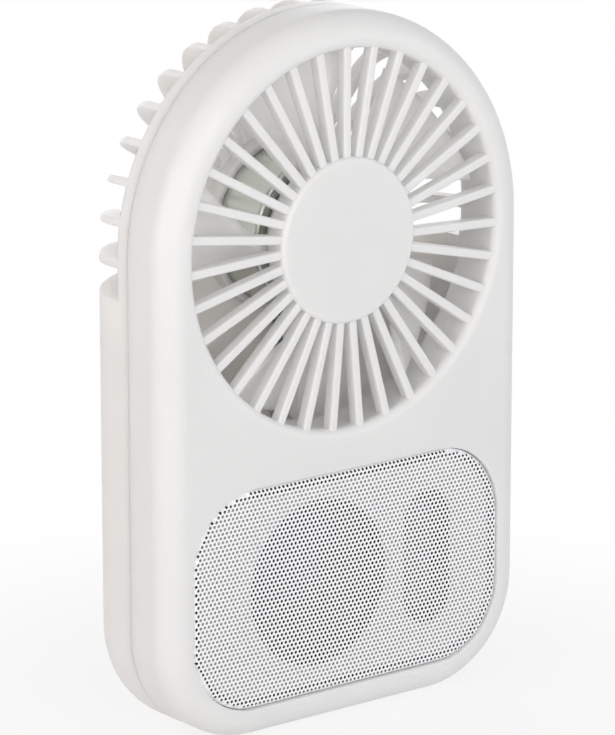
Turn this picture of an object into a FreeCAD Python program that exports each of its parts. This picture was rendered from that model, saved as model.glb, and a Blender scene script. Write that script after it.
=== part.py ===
"""Desk fan with speaker: a slab-shaped housing with a caged fan above and a speaker below.

Millimetres, +Z up, the front face looks along -Y, and the origin is the middle of the foot.
Depths are measured back from the front face, because every layer of the product is stacked
along that one direction.
"""
import FreeCAD, Part
import math
import os
import Sketcher

from FreeCAD import Placement, Rotation, Vector

os.makedirs("parts", exist_ok=True)
doc = FreeCAD.newDocument("desk_fan_with_speaker")
sheet = doc.addObject("Spreadsheet::Sheet", "sizes")

# Driving sizes, one line each: name and value in millimetres, degrees or pieces
SIZES = {
    # housing
    "body_width": 90.0,
    "tub_height": 52.4,
    "body_depth": 28.1,
    "wall": 2.0,
    "front_round": 5.0,
    "back_round": 10.0,
    "corner_round": 22.0,
    "seam_depth": 12.0,
    "seam_gap": 0.2,
    "tongue_thick": 0.8,
    "tongue_high": 1.2,
    "tongue_gap": 0.1,
    # fan opening and its cage
    "fan_margin": 7.2,
    "lip_round": 1.8,
    "duct_wall": 1.6,
    "duct_depth": 10.3,
    "spoke_count": 35,
    "spoke_width": 1.8,
    "spoke_deep": 2.4,
    "spoke_set": 0.7,
    "spoke_round": 0.45,
    "spoke_root": 1.3,
    "hub_disc_radius": 16.6,
    "hub_disc_round": 1.0,
    "hub_plate": 1.6,
    "hub_skirt_wall": 1.5,
    "hub_skirt_depth": 4.85,
    # rear fins
    "slot_count": 20,
    "fin_pitch": 10.13,
    "fin_width": 1.65,
    "fin_edge_round": 0.45,
    "fin_deep": 3.6,
    "fin_inner_round": 6.4,
    "band_depth": 15.3,
    "back_plate_radius": 18.6,
    "chamber_wall": 1.6,
    "cavity_shoulder": 15.0,
    "motor_seat_wall": 1.4,
    "motor_seat_high": 3.2,
    "lead_notch_width": 4.4,
    # speaker grille and its seat
    "mesh_margin": 6.3,
    "mesh_height": 44.6,
    "mesh_corner": 15.1,
    "mesh_middle_z": 28.7,
    "mesh_gap": 0.25,
    "mesh_set": 0.1,
    "mesh_sheet": 0.6,
    "mesh_rim_deep": 1.5,
    "mesh_rim_round": 0.5,
    "pad_depth": 0.9,
    "groove_width": 2.1,
    "groove_depth": 1.9,
    "carrier_wall": 3.5,
    "carrier_border": 2.0,
    "driver_x": -7.1,
    "driver_z": 29.0,
    "driver_opening_radius": 17.0,
    "radiator_x": 20.7,
    "radiator_z": 29.1,
    "radiator_opening_width": 11.9,
    "radiator_opening_height": 27.9,
    # case screws
    "upper_screw_inset": 9.5,
    "upper_screw_z": 60.5,
    "lower_screw_inset": 15.0,
    "lower_screw_z": 12.0,
    "pillar_radius": 2.9,
    "rear_pillar_wall": 1.2,
    "screw_radius": 1.1,
    "screw_play": 0.02,
    "screw_passage_play": 0.2,
    "screw_head_radius": 2.4,
    "screw_head_play": 0.35,
    "screw_head_high": 1.7,
    "screw_seat_set": 8.0,
    "screw_tip_depth": 4.9,
    "screw_hole_depth": 4.4,
    "screw_recess_width": 1.0,
    "screw_recess_deep": 0.9,
    # motor
    "motor_radius": 16.1,
    "motor_wheel_gap": 0.6,
    "motor_can_wall": 0.7,
    "motor_edge_round": 1.0,
    "motor_nose_radius": 3.2,
    "motor_nose_high": 0.8,
    "motor_seat_play": 0.1,
    "end_cap_thick": 2.2,
    "end_cap_inset": 0.15,
    "bush_radius": 2.2,
    "bush_play": 0.02,
    "front_bush_length": 2.4,
    "shaft_radius": 1.0,
    "shaft_play": 0.03,
    "shaft_front_depth": 6.9,
    "shaft_back_set": 0.3,
    "magnet_thick": 2.6,
    "magnet_angle": 130.0,
    "magnet_end_set": 1.4,
    "rotor_gap": 0.5,
    "rotor_end_set": 1.9,
    "rotor_back_room": 3.5,
    "rotor_slots": 5,
    "rotor_slot_width": 2.4,
    "rotor_slot_deep": 6.0,
    "press_play": 0.01,
    "collector_radius": 3.0,
    "collector_length": 1.8,
    # fan wheel
    "wheel_hub_radius": 14.0,
    "wheel_front_depth": 6.0,
    "wheel_hub_plate": 1.4,
    "wheel_hub_deep": 2.7,
    "wheel_hub_wall": 1.5,
    "wheel_boss_radius": 3.0,
    "wheel_boss_deep": 2.2,
    "wheel_tip_play": 1.2,
    "blade_count": 5,
    "blade_first_angle": 32.0,
    "blade_thick": 1.3,
    "blade_front_set": 0.3,
    "blade_back_set": 0.2,
    "blade_mid_deep": 7.4,
    "blade_tip_deep": 10.4,
    "blade_motor_play": 0.8,
    "blade_shoulder": 4.0,
    # speaker driver
    "flange_radius": 19.2,
    "flange_inner_radius": 16.2,
    "flange_thick": 1.0,
    "flange_seat_radius": 17.6,
    "flange_seat_deep": 0.6,
    "gasket_inner_radius": 17.7,
    "gasket_thick": 0.5,
    "basket_wall": 0.8,
    "basket_neck_radius": 11.4,
    "basket_hole_radius": 8.6,
    "speaker_battery_gap": 1.3,
    "basket_windows": 6,
    "basket_window_half": 3.4,
    "basket_window_set": 1.4,
    "top_plate_radius": 11.0,
    "top_plate_thick": 1.6,
    "magnet_radius": 12.0,
    "ferrite_hole_radius": 8.6,
    "yoke_radius": 11.0,
    "yoke_thick": 1.6,
    "yoke_vent_radius": 1.5,
    "pole_radius": 6.0,
    "coil_thick": 0.4,
    "coil_gap": 0.3,
    "cone_radius": 14.5,
    "cone_thick": 0.5,
    "cone_foot": 0.6,
    "roll_middle_radius": 15.9,
    "roll_radius": 1.1,
    "roll_thick": 0.4,
    "dust_cap_radius": 6.25,
    "dust_cap_high": 1.7,
    "dust_cap_thick": 0.4,
    "dust_cap_set": 0.2,
    "terminal_x": 10.0,
    "terminal_width": 2.5,
    "terminal_high": 4.0,
    "terminal_thick": 1.0,
    "speaker_screw_circle": 21.2,
    "speaker_boss_radius": 1.8,
    "speaker_screw_radius": 0.9,
    "speaker_screw_head_radius": 2.5,
    "speaker_screw_head_high": 1.1,
    "speaker_screw_tip_depth": 2.3,
    "speaker_screw_hole_depth": 2.0,
    # passive radiator
    "radiator_border": 1.9,
    "radiator_thick": 1.6,
    "radiator_seat": 1.0,
    "radiator_seat_deep": 0.6,
    "radiator_seat_play": 0.05,
    "bead_inset": 0.4,
    "bead_width": 1.6,
    "bead_high": 0.7,
    "radiator_plate_gap": 0.3,
    "radiator_plate_thick": 1.0,
    # battery
    "battery_side_margin": 9.0,
    "battery_height": 30.0,
    "battery_thick": 5.6,
    "battery_board_gap": 6.0,
    "battery_z": 32.5,
    "battery_corner": 1.6,
    "battery_edge": 0.8,
    "battery_pad_thick": 0.6,
    "battery_pad_inset": 4.0,
    "battery_rib_gap": 0.4,
    "battery_rib_wall": 1.0,
    "battery_rib_high": 3.0,
    "battery_board_high": 3.2,
    "battery_board_thick": 1.0,
    "battery_board_set": 0.4,
    # circuit board and what it carries
    "board_room": 29.0,
    "board_width": 24.5,
    "board_bottom_z": 17.0,
    "board_height": 37.0,
    "board_corner": 1.0,
    "board_back_room": 5.5,
    "board_thick": 1.0,
    "board_hole_inset": 3.6,
    "board_post_radius": 2.0,
    "board_screw_radius": 0.9,
    "board_screw_head_radius": 1.7,
    "board_screw_head_high": 1.0,
    "board_screw_length": 4.2,
    "board_screw_hole": 4.0,
    "audio_chip_x": 4.0,
    "audio_chip_z": 32.0,
    "audio_chip_side": 6.0,
    "audio_chip_thick": 1.0,
    "power_chip_x": 4.5,
    "power_chip_z": 41.0,
    "power_chip_side": 4.0,
    "power_chip_thick": 1.2,
    "coil_box_x": 14.0,
    "coil_box_z": 30.0,
    "coil_box_side": 4.6,
    "coil_box_thick": 2.4,
    "radio_module_x": 12.0,
    "radio_module_z": 37.0,
    "radio_module_side": 9.0,
    "radio_module_thick": 1.8,
    "port_z": 23.5,
    "port_width": 9.0,
    "port_high": 3.2,
    "port_length": 7.6,
    "port_wall": 0.35,
    "port_back_wall": 1.0,
    "port_tongue_thick": 0.7,
    "port_tongue_width": 6.4,
    "port_tongue_set": 0.8,
    "port_gap": 0.3,
    "port_inset": 1.5,
    # push buttons
    "button_inset": 11.0,
    "button_first_z": 21.0,
    "button_step": 9.0,
    "button_radius": 3.5,
    "button_gap": 0.15,
    "button_round": 0.5,
    "button_set": 0.2,
    "button_flange": 0.8,
    "button_flange_thick": 0.6,
    "button_flange_gap": 0.05,
    "button_travel": 0.4,
    "recess_width": 12.0,
    "recess_deep": 0.8,
    "switch_side": 5.2,
    "switch_high": 2.2,
    "switch_floor": 0.5,
    "plunger_radius": 1.5,
    "plunger_play": 0.1,
    "plunger_gap": 0.02,
    # indicator
    "lamp_inset": 3.2,
    "lamp_z": 43.5,
    "lamp_radius": 1.1,
    "lamp_play": 0.05,
    "lamp_flange": 0.6,
    "lamp_flange_thick": 0.6,
    "lamp_pipe_set": 0.4,
    "lamp_top_set": 0.1,
    "lamp_chip_side": 1.6,
    "lamp_chip_high": 0.8,
    # leads
    "lead_radius": 0.5,
    "lead_step": 1.4,
    "lead_bend": 1.2,
    "motor_lead_room": 1.4,
    "motor_lead_inset": 3.0,
    "motor_lead_z": 51.5,
    "speaker_lead_x": 11.2,
    "speaker_lead_z": 28.3,
    "front_lead_room": 2.4,
    "speaker_lead_inset": 6.0,
    "battery_lead_inset": 2.4,
    "battery_lead_z": 48.3,
    "battery_lead_room": 1.0,
    # shared overrun of cuts
    "overrun": 3.0,
}


class Size:
    """A number together with the text by which the sheet works it out."""

    def __init__(self, value, text):
        self.value = value
        self.text = text

    def __add__(self, other):
        other = as_size(other)
        return Size(self.value + other.value, "(%s + %s)" % (self.text, other.text))

    def __radd__(self, other):
        return as_size(other) + self

    def __sub__(self, other):
        other = as_size(other)
        return Size(self.value - other.value, "(%s - %s)" % (self.text, other.text))

    def __rsub__(self, other):
        return as_size(other) - self

    def __mul__(self, other):
        other = as_size(other)
        return Size(self.value * other.value, "(%s * %s)" % (self.text, other.text))

    def __rmul__(self, other):
        return as_size(other) * self

    def __truediv__(self, other):
        other = as_size(other)
        return Size(self.value / other.value, "(%s / %s)" % (self.text, other.text))

    def __rtruediv__(self, other):
        return as_size(other) / self

    def __neg__(self):
        return Size(-self.value, "(0 - %s)" % self.text)


def as_size(number):
    """A size as it is, or a plain count or share made into one."""
    if isinstance(number, Size):
        return number
    return Size(float(number), "%.9g" % number)


def sine(angle):
    """Sine of an angle in degrees."""
    return Size(math.sin(math.radians(angle.value)), "sin(%s)" % angle.text)


def cosine(angle):
    """Cosine of an angle in degrees."""
    return Size(math.cos(math.radians(angle.value)), "cos(%s)" % angle.text)


def root(number):
    """Square root."""
    return Size(math.sqrt(number.value), "sqrt(%s)" % number.text)


def fill_sheet():
    """Writes the driving sizes into the sheet, and returns them by name."""
    named = {}
    for row, (name, value) in enumerate(SIZES.items(), start=1):
        sheet.set("A%d" % row, name)
        sheet.set("B%d" % row, str(value))
        sheet.setAlias("B%d" % row, name)
        named[name] = Size(value, "sizes.%s" % name)
    doc.recompute()
    return named


z = fill_sheet()
ZERO = Size(0.0, "0")
# Depths inside the speaker, as shares of the depth that holds them
depth_share = {"basket": 0.514, "cone": 0.625, "coil": 0.735}
# The battery's small board, as a share of the cell's width
cell_board_share = 0.6
half_width = z["body_width"] / 2
half_depth = z["body_depth"] / 2
fan_z = z["tub_height"] + half_width
fan_radius = half_width - z["fan_margin"]
mesh_width = z["body_width"] - z["mesh_margin"] * 2
chamber_radius = half_width - z["fin_deep"]
seam = z["seam_depth"]
rear_rim = seam + z["seam_gap"]
screw_seat = z["body_depth"] - z["screw_seat_set"]
back_inner = z["body_depth"] - z["wall"]
fan_plate = z["body_depth"] - z["fin_deep"]
flange_front = z["carrier_wall"] + z["gasket_thick"]
flange_back = flange_front + z["flange_thick"]
board_front = back_inner - z["board_back_room"]
board_back = board_front + z["board_thick"]
board_left = half_width - z["board_room"]
button_x = board_left + z["button_inset"]
lamp_x = board_left + z["lamp_inset"]
button_top = z["body_depth"] - z["button_set"]
button_flange_back = back_inner - z["button_flange_gap"]
button_flange_front = button_flange_back - z["button_flange_thick"]
motor_back = fan_plate - z["end_cap_thick"]
motor_front = z["wheel_front_depth"] + z["wheel_hub_deep"] + z["motor_wheel_gap"]
rotor_front = motor_front + z["rotor_end_set"]
rotor_length = motor_back - rotor_front - z["rotor_back_room"]
battery_back = back_inner - z["battery_pad_thick"]
battery_front = battery_back - z["battery_thick"]
battery_left = z["battery_side_margin"] - half_width
battery_right = board_left - z["battery_board_gap"]
battery_width = battery_right - battery_left
battery_x = (battery_left + battery_right) / 2
speaker_deep = battery_front - z["speaker_battery_gap"] - flange_front
basket_deep = speaker_deep * depth_share["basket"]
cone_deep = basket_deep * depth_share["cone"]
basket_back = flange_front + basket_deep
top_plate_back = basket_back + z["top_plate_thick"]
ferrite_back = flange_front + speaker_deep - z["yoke_thick"]
surround_seat = flange_front + z["flange_seat_deep"]
cone_back = surround_seat + z["cone_thick"] + cone_deep
coil_length = (ferrite_back - cone_back) * depth_share["coil"]
board_top = z["board_bottom_z"] + z["board_height"]
port_left = half_width - z["port_inset"] - z["port_length"]
port_depth = board_front - z["port_high"] / 2
button_places = [
    ("fan_button", z["button_first_z"]),
    ("play_button", z["button_first_z"] + z["button_step"]),
    ("volume_down_button", z["button_first_z"] + z["button_step"] * 2),
    ("volume_up_button", z["button_first_z"] + z["button_step"] * 3),
]
screw_places = [
    (side * (half_width - z[name + "_screw_inset"]), z[name + "_screw_z"]) for name in ("upper", "lower") for side in (-1, 1)
]
speaker_screw_places = [
    (
        z["driver_x"] + z["speaker_screw_circle"] * cosine(Size(angle, "%g" % angle)),
        z["driver_z"] + z["speaker_screw_circle"] * sine(Size(angle, "%g" % angle)),
    )
    for angle in (45.0, 135.0, 225.0, 315.0)
]
board_hole_places = [
    (board_left + z["board_hole_inset"], z["board_bottom_z"] + z["board_hole_inset"]),
    (
        board_left + z["board_width"] - z["board_hole_inset"],
        board_top - z["board_hole_inset"],
    ),
]
# Half the width of a blade at each station, and how far it sweeps aside, as shares of the pitch
blade_width_share = {"root": 0.17, "hub": 0.18, "shoulder": 0.24, "tip": 0.48}
blade_sweep_share = {"root": 0.0, "hub": 0.0, "shoulder": 0.06, "tip": 0.22}
pieces = []


def bind(thing, name, size):
    """Sets a property now and ties it to the sheet."""
    size = as_size(size)
    thing.setExpression(name, size.text)


def depth_to_y(depth):
    """The Y place of a depth behind the front face."""
    return depth - half_depth


def finish(thing, label):
    """Gives a finished piece its name and puts it on the list of pieces."""
    thing.Label = label
    pieces.append(thing)
    return thing


# Plain solids from primitives, tied to the sheet


def place(thing, x, depth, height, turn=None):
    """Puts a primitive's own origin at x, at a depth behind the front face, and at a height."""
    if turn is not None:
        thing.Placement = Placement(Vector(), turn)
    bind(thing, "Placement.Base.x", x)
    bind(thing, "Placement.Base.y", depth_to_y(depth))
    bind(thing, "Placement.Base.z", height)


def block(name, x, width, depth, deep, height, high):
    """A box from its low corner and its three sizes."""
    box = doc.addObject("Part::Box", name)
    bind(box, "Length", width)
    bind(box, "Width", deep)
    bind(box, "Height", high)
    place(box, x, depth, height)
    return box


def rod(name, x, height, depth, deep, radius):
    """A round bar along the depth, from a depth backwards."""
    bar = doc.addObject("Part::Cylinder", name)
    bind(bar, "Radius", radius)
    bind(bar, "Height", deep)
    place(bar, x, depth, height, Rotation(Vector(1, 0, 0), -90))
    return bar


def cut(name, base, tool):
    """A solid less another one."""
    result = doc.addObject("Part::Cut", name)
    result.Base = base
    result.Tool = tool
    return result


def join(name, shapes):
    """Several solids fused into one."""
    result = doc.addObject("Part::MultiFuse", name)
    result.Shapes = shapes
    result.Refine = True
    return result


def bunch(name, shapes):
    """Several separate solids kept as one group."""
    result = doc.addObject("Part::Compound", name)
    result.Links = shapes
    return result


def tube(name, x, height, depth, deep, radius, bore):
    """A round bar with a hole through it."""
    outer = rod(name + "_outer", x, height, depth, deep, radius)
    inner = rod(name + "_bore", x, height, depth - z["overrun"], deep + z["overrun"] * 2, bore)
    return cut(name, outer, inner)


# Bodies made of sketches and features


class Drawing:
    """A sketch whose every corner is placed by sizes of the sheet."""

    def __init__(self, body, name, plane, offset, angle=None):
        self.sketch = body.newObject("Sketcher::SketchObject", name)
        origin = [f for f in body.Origin.OriginFeatures if f.Role == plane][0]
        self.sketch.AttachmentSupport = [(origin, "")]
        self.sketch.MapMode = "FlatFace"
        if angle is not None:
            self.sketch.AttachmentOffset = Placement(Vector(), Rotation(Vector(0, 0, 1), angle.value))
            bind(self.sketch, "AttachmentOffset.Rotation.Angle", angle)
        for axis, size in zip("xyz", offset):
            if size is not ZERO:
                bind(self.sketch, "AttachmentOffset.Base." + axis, size)

    def tie(self, kind, parts, size):
        """Adds one measured constraint and ties it to the sheet."""
        index = self.sketch.addConstraint(Sketcher.Constraint(kind, *parts, size.value))
        bind(self.sketch, "Constraints[%d]" % index, size)

    def pin(self, piece, end, across, up):
        """Places one end of a line or the middle of a circle."""
        for kind, size in (("DistanceX", as_size(across)), ("DistanceY", as_size(up))):
            self.tie(kind, (-1, 1, piece, end), size)

    def circle(self, across, up, radius):
        """A circle."""
        across, up = as_size(across), as_size(up)
        middle = Vector(across.value, up.value, 0)
        index = self.sketch.addGeometry(Part.Circle(middle, Vector(0, 0, 1), radius.value))
        self.pin(index, 3, across, up)
        self.tie("Radius", (index,), radius)

    def outline(self, start, steps):
        """A closed outline: each step is (across, up) for a line, and an arc adds its
        middle, its radius and the way it turns, 1 for against the clock."""
        here = [as_size(number) for number in start]
        ends = []
        for step in steps:
            there = [as_size(number) for number in step[:2]]
            if len(step) == 2:
                line = Part.LineSegment(
                    Vector(here[0].value, here[1].value, 0), Vector(there[0].value, there[1].value, 0)
                )
                index = self.sketch.addGeometry(line)
                ends.append((index, 1, 2))
            else:
                middle = [as_size(number) for number in step[2:4]]
                radius, way = step[4], step[5]
                angles = [
                    math.atan2(p[1].value - middle[1].value, p[0].value - middle[0].value) for p in (here, there)
                ]
                if way < 0:
                    angles.reverse()
                if angles[1] <= angles[0]:
                    angles[1] += 2 * math.pi
                base = Part.Circle(Vector(middle[0].value, middle[1].value, 0), Vector(0, 0, 1), radius.value)
                index = self.sketch.addGeometry(Part.ArcOfCircle(base, angles[0], angles[1]))
                chord = [there[n].value - here[n].value for n in (0, 1)]
                if abs(chord[0]) > abs(chord[1]):
                    self.tie("DistanceY", (-1, 1, index, 3), middle[1])
                else:
                    self.tie("DistanceX", (-1, 1, index, 3), middle[0])
                ends.append((index, 1, 2) if way > 0 else (index, 2, 1))
            here = there
        for number, (index, _, far) in enumerate(ends):
            follower = ends[(number + 1) % len(ends)]
            self.sketch.addConstraint(Sketcher.Constraint("Coincident", index, far, follower[0], follower[1]))
            self.pin(index, far, steps[number][0], steps[number][1])

    def box(self, middle_across, middle_up, width, high, corner):
        """An upright rectangle with round corners."""
        left, right = middle_across - width / 2, middle_across + width / 2
        low, top = middle_up - high / 2, middle_up + high / 2
        self.outline(
            (left + corner, low),
            [
                (right - corner, low),
                (right, low + corner, right - corner, low + corner, corner, 1),
                (right, top - corner),
                (right - corner, top, right - corner, top - corner, corner, 1),
                (left + corner, top),
                (left, top - corner, left + corner, top - corner, corner, 1),
                (left, low + corner),
                (left + corner, low, left + corner, low + corner, corner, 1),
            ],
        )

    def sharp_box(self, left, low, right, top):
        """An upright rectangle with square corners."""
        self.outline((left, low), [(right, low), (right, top), (left, top), (left, low)])

    def stadium(self, middle_across, middle_up, width, high):
        """An upright slot with round ends."""
        radius = width / 2
        left, right = middle_across - radius, middle_across + radius
        low, top = middle_up - high / 2 + radius, middle_up + high / 2 - radius
        self.outline(
            (right, low),
            [
                (right, top),
                (left, top, middle_across, top, radius, 1),
                (left, low),
                (right, low, middle_across, low, radius, 1),
            ],
        )

    def arch(self, inset):
        """The housing's outline, drawn in by an inset: round on top, with round lower corners."""
        side, low = half_width - inset, ZERO + inset
        corner = z["corner_round"] - inset
        turn_z = z["corner_round"]
        turn_x = half_width - z["corner_round"]
        self.outline(
            (side, turn_z),
            [
                (side, fan_z),
                (-side, fan_z, ZERO, fan_z, side, 1),
                (-side, turn_z),
                (-turn_x, low, -turn_x, turn_z, corner, 1),
                (turn_x, low),
                (side, turn_z, turn_x, turn_z, corner, 1),
            ],
        )


class Moulding:
    """A body built up of pads and pockets that run along the depth."""

    def __init__(self, name):
        self.body = doc.addObject("PartDesign::Body", name)
        self.name = name
        self.count = 0

    def label(self, word):
        self.count += 1
        return "%s_%s_%d" % (self.name, word, self.count)

    def face(self, depth, middle=(ZERO, ZERO), angle=None):
        """A drawing square to the depth, seen from the front, at a depth behind the front face."""
        offset = (middle[0], middle[1], half_depth - depth)
        return Drawing(self.body, self.label("drawing"), "XZ_Plane", offset, angle)

    def side(self, middle=(ZERO, ZERO)):
        """A drawing in a level plane: across is X from the middle, up is the depth."""
        offset = (middle[0], -half_depth, middle[1])
        return Drawing(self.body, self.label("drawing"), "XY_Plane", offset)

    def flank(self, x):
        """A drawing square to X: across is the depth, up is Z."""
        return Drawing(self.body, self.label("drawing"), "YZ_Plane", (-half_depth, ZERO, x))

    def feature(self, kind, word, drawing):
        thing = self.body.newObject("PartDesign::" + kind, self.label(word))
        thing.Profile = drawing.sketch
        return thing

    def pad(self, drawing, deep, forwards=False):
        """Adds material from the drawing's plane backwards, or forwards."""
        thing = self.feature("Pad", "pad", drawing)
        bind(thing, "Length", deep)
        thing.Reversed = not forwards
        return thing

    def pocket(self, drawing, deep, forwards=False):
        """Removes material from the drawing's plane backwards, or forwards, and sees that it did."""
        doc.recompute()
        before = self.body.Shape.Volume
        thing = self.feature("Pocket", "pocket", drawing)
        bind(thing, "Length", deep)
        thing.Reversed = forwards
        doc.recompute()
        if self.body.Shape.Volume >= before:
            raise RuntimeError("%s cuts nothing" % thing.Name)
        return thing

    def turn(self, drawing):
        """Turns a drawing made by side() all the way round its own upright axis."""
        thing = self.feature("Revolution", "turned", drawing)
        thing.ReferenceAxis = (drawing.sketch, ["V_Axis"])
        thing.Angle = 360
        return thing

    def soften(self, size, wanted, kind="Fillet"):
        """Rounds or bevels the edges that a test picks out."""
        doc.recompute()
        tip = self.body.Tip
        names = ["Edge%d" % (n + 1) for n, edge in enumerate(tip.Shape.Edges) if wanted(edge)]
        if not names:
            raise RuntimeError("%s: no edge to soften" % self.name)
        thing = self.body.newObject("PartDesign::" + kind, self.label(kind.lower()))
        thing.Base = (tip, names)
        bind(thing, "Radius" if kind == "Fillet" else "Size", size)
        return thing

    def repeat(self, features, drawing, count, angle):
        """Repeats features round the normal through a drawing's own origin."""
        doc.recompute()
        thing = self.body.newObject("PartDesign::PolarPattern", self.label("round"))
        thing.Originals = features
        thing.Axis = (drawing.sketch, ["N_Axis"])
        bind(thing, "Occurrences", count)
        bind(thing, "Angle", angle)
        self.body.Tip = thing
        return thing

    def done(self, label=None):
        return finish(self.body, label or self.name)


def close(one, other):
    """Whether two lengths are the same but for rounding."""
    return abs(one - other) < 1e-3


def edge_depths(edge):
    """The least and greatest depth of an edge behind the front face."""
    box = edge.BoundBox
    return box.YMin + half_depth.value, box.YMax + half_depth.value


def lies_at(edge, depth):
    """Whether an edge lies flat at one depth."""
    low, high = edge_depths(edge)
    return close(low, depth.value) and close(high, depth.value)


def from_fan(edge):
    """How far the middle of an edge lies from the fan's axis."""
    point = edge.valueAt((edge.FirstParameter + edge.LastParameter) / 2)
    return math.hypot(point.x, point.z - fan_z.value)


def is_outer(edge, inset):
    """Whether an edge lies on the housing's outline drawn in by an inset."""
    point = edge.valueAt((edge.FirstParameter + edge.LastParameter) / 2)
    across = abs(point.x)
    side = half_width.value - inset.value
    corner_x = half_width.value - SIZES["corner_round"]
    corner_z = SIZES["corner_round"]
    if point.z > fan_z.value:
        return close(from_fan(edge), side)
    if point.z < corner_z and across > corner_x:
        reach = math.hypot(across - corner_x, point.z - corner_z)
        return close(reach, corner_z - inset.value)
    return close(across, side) or close(point.z, inset.value)


# Housing


def make_front_cover():
    """The front moulding: shell, fan cage, hub disc, grille seat, speaker carrier and pillars."""
    part = Moulding("front_cover")
    drawing = part.face(ZERO)
    drawing.arch(ZERO)
    part.pad(drawing, seam)
    part.soften(z["front_round"], lambda edge: lies_at(edge, ZERO))

    drawing = part.face(z["wall"])
    drawing.arch(z["wall"])
    part.pocket(drawing, seam)
    inner_round = z["front_round"] - z["wall"]
    part.soften(inner_round, lambda edge: lies_at(edge, z["wall"]) and is_outer(edge, z["wall"]))

    drawing = part.face(z["wall"])
    drawing.arch(z["wall"])
    drawing.arch(z["wall"] + z["tongue_thick"])
    collar_depth = seam + z["tongue_high"] - z["wall"]
    part.pad(drawing, collar_depth)

    drawing = part.face(z["wall"] / 2, (ZERO, fan_z))
    drawing.circle(ZERO, ZERO, fan_radius + z["duct_wall"])
    part.pad(drawing, z["duct_depth"] - z["wall"] / 2)

    carrier_width = mesh_width + z["carrier_border"] * 2
    carrier_height = z["mesh_height"] + z["carrier_border"] * 2
    carrier_corner = z["mesh_corner"] + z["carrier_border"]
    drawing = part.face(z["wall"] / 2)
    drawing.box(ZERO, z["mesh_middle_z"], carrier_width, carrier_height, carrier_corner)
    part.pad(drawing, z["carrier_wall"] - z["wall"] / 2)

    for x, height in screw_places:
        drawing = part.face(z["wall"] / 2)
        drawing.circle(x, height, z["pillar_radius"])
        part.pad(drawing, seam - z["wall"] / 2)
    for x, height in screw_places:
        drawing = part.face(seam + z["overrun"])
        drawing.circle(x, height, z["screw_radius"] + z["screw_play"])
        part.pocket(drawing, seam + z["overrun"] - z["screw_hole_depth"], forwards=True)
    for x, height in speaker_screw_places:
        drawing = part.face(z["carrier_wall"] - z["wall"] / 4)
        drawing.circle(x, height, z["speaker_boss_radius"])
        part.pad(drawing, flange_back - z["carrier_wall"] + z["wall"] / 4)
        drawing = part.face(flange_back + z["overrun"])
        drawing.circle(x, height, z["speaker_screw_radius"] + z["screw_play"])
        part.pocket(drawing, flange_back + z["overrun"] - z["speaker_screw_hole_depth"], forwards=True)

    drawing = part.face(-z["overrun"], (ZERO, fan_z))
    drawing.circle(ZERO, ZERO, fan_radius)
    part.pocket(drawing, z["body_depth"])
    part.soften(z["lip_round"], lambda edge: lies_at(edge, ZERO) and close(from_fan(edge), fan_radius.value))

    mesh_outline = (
        mesh_width + z["mesh_gap"] * 2, z["mesh_height"] + z["mesh_gap"] * 2, z["mesh_corner"] + z["mesh_gap"]
    )
    drawing = part.face(-z["overrun"])
    drawing.box(ZERO, z["mesh_middle_z"], *mesh_outline)
    part.pocket(drawing, z["overrun"] + z["pad_depth"])
    drawing = part.face(-z["overrun"])
    drawing.box(ZERO, z["mesh_middle_z"], *mesh_outline)
    inner = [size - z["groove_width"] * 2 for size in mesh_outline[:2]]
    drawing.box(ZERO, z["mesh_middle_z"], inner[0], inner[1], mesh_outline[2] - z["groove_width"])
    part.pocket(drawing, z["overrun"] + z["groove_depth"])
    drawing = part.face(ZERO)
    drawing.circle(z["driver_x"], z["driver_z"], z["driver_opening_radius"])
    part.pocket(drawing, z["body_depth"])
    drawing = part.face(ZERO)
    drawing.stadium(z["radiator_x"], z["radiator_z"], z["radiator_opening_width"], z["radiator_opening_height"])
    part.pocket(drawing, z["body_depth"])

    drawing = part.face(ZERO, (ZERO, fan_z))
    drawing.circle(ZERO, ZERO, z["hub_disc_radius"])
    part.pad(drawing, z["hub_skirt_depth"])
    part.soften(
        z["hub_disc_round"], lambda edge: lies_at(edge, ZERO) and close(from_fan(edge), z["hub_disc_radius"].value)
    )
    start = z["hub_disc_radius"] - z["hub_skirt_wall"]
    half, corner = z["spoke_width"] / 2, z["spoke_round"]
    front, flat = z["spoke_set"], half - corner
    drawing = part.side((ZERO, fan_z + start))
    drawing.outline(
        (half, front + z["spoke_deep"]),
        [
            (half, front + corner),
            (flat, front, flat, front + corner, corner, -1),
            (-flat, front),
            (-half, front + corner, -flat, front + corner, corner, -1),
            (-half, front + z["spoke_deep"]),
            (half, front + z["spoke_deep"]),
        ],
    )
    spoke = part.pad(drawing, fan_radius + z["spoke_root"] - start, forwards=True)
    drawing = part.face(z["hub_plate"], (ZERO, fan_z))
    part.repeat([spoke], drawing, z["spoke_count"], Size(360.0, "360"))
    drawing.circle(ZERO, ZERO, z["hub_disc_radius"] - z["hub_skirt_wall"])
    part.pocket(drawing, z["body_depth"])
    part.done()


def slot_outline(drawing):
    """One opening between two fins that keep the same width from the hub to the rim."""
    half_pitch = z["fin_pitch"] / 2
    half_fin = z["fin_width"] / 2
    reach = half_width + z["overrun"]
    ends = []
    for radius in (z["back_plate_radius"], reach):
        along = radius * cosine(half_pitch) + half_fin * sine(half_pitch)
        across = radius * sine(half_pitch) - half_fin * cosine(half_pitch)
        ends.append((along, across))
    (near, near_half), (far, far_half) = ends
    drawing.outline(
        (near, -near_half),
        [
            (far, -far_half),
            (far, far_half),
            (near, near_half),
            (near, -near_half, near, ZERO, near_half, 1),
        ],
    )


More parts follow.
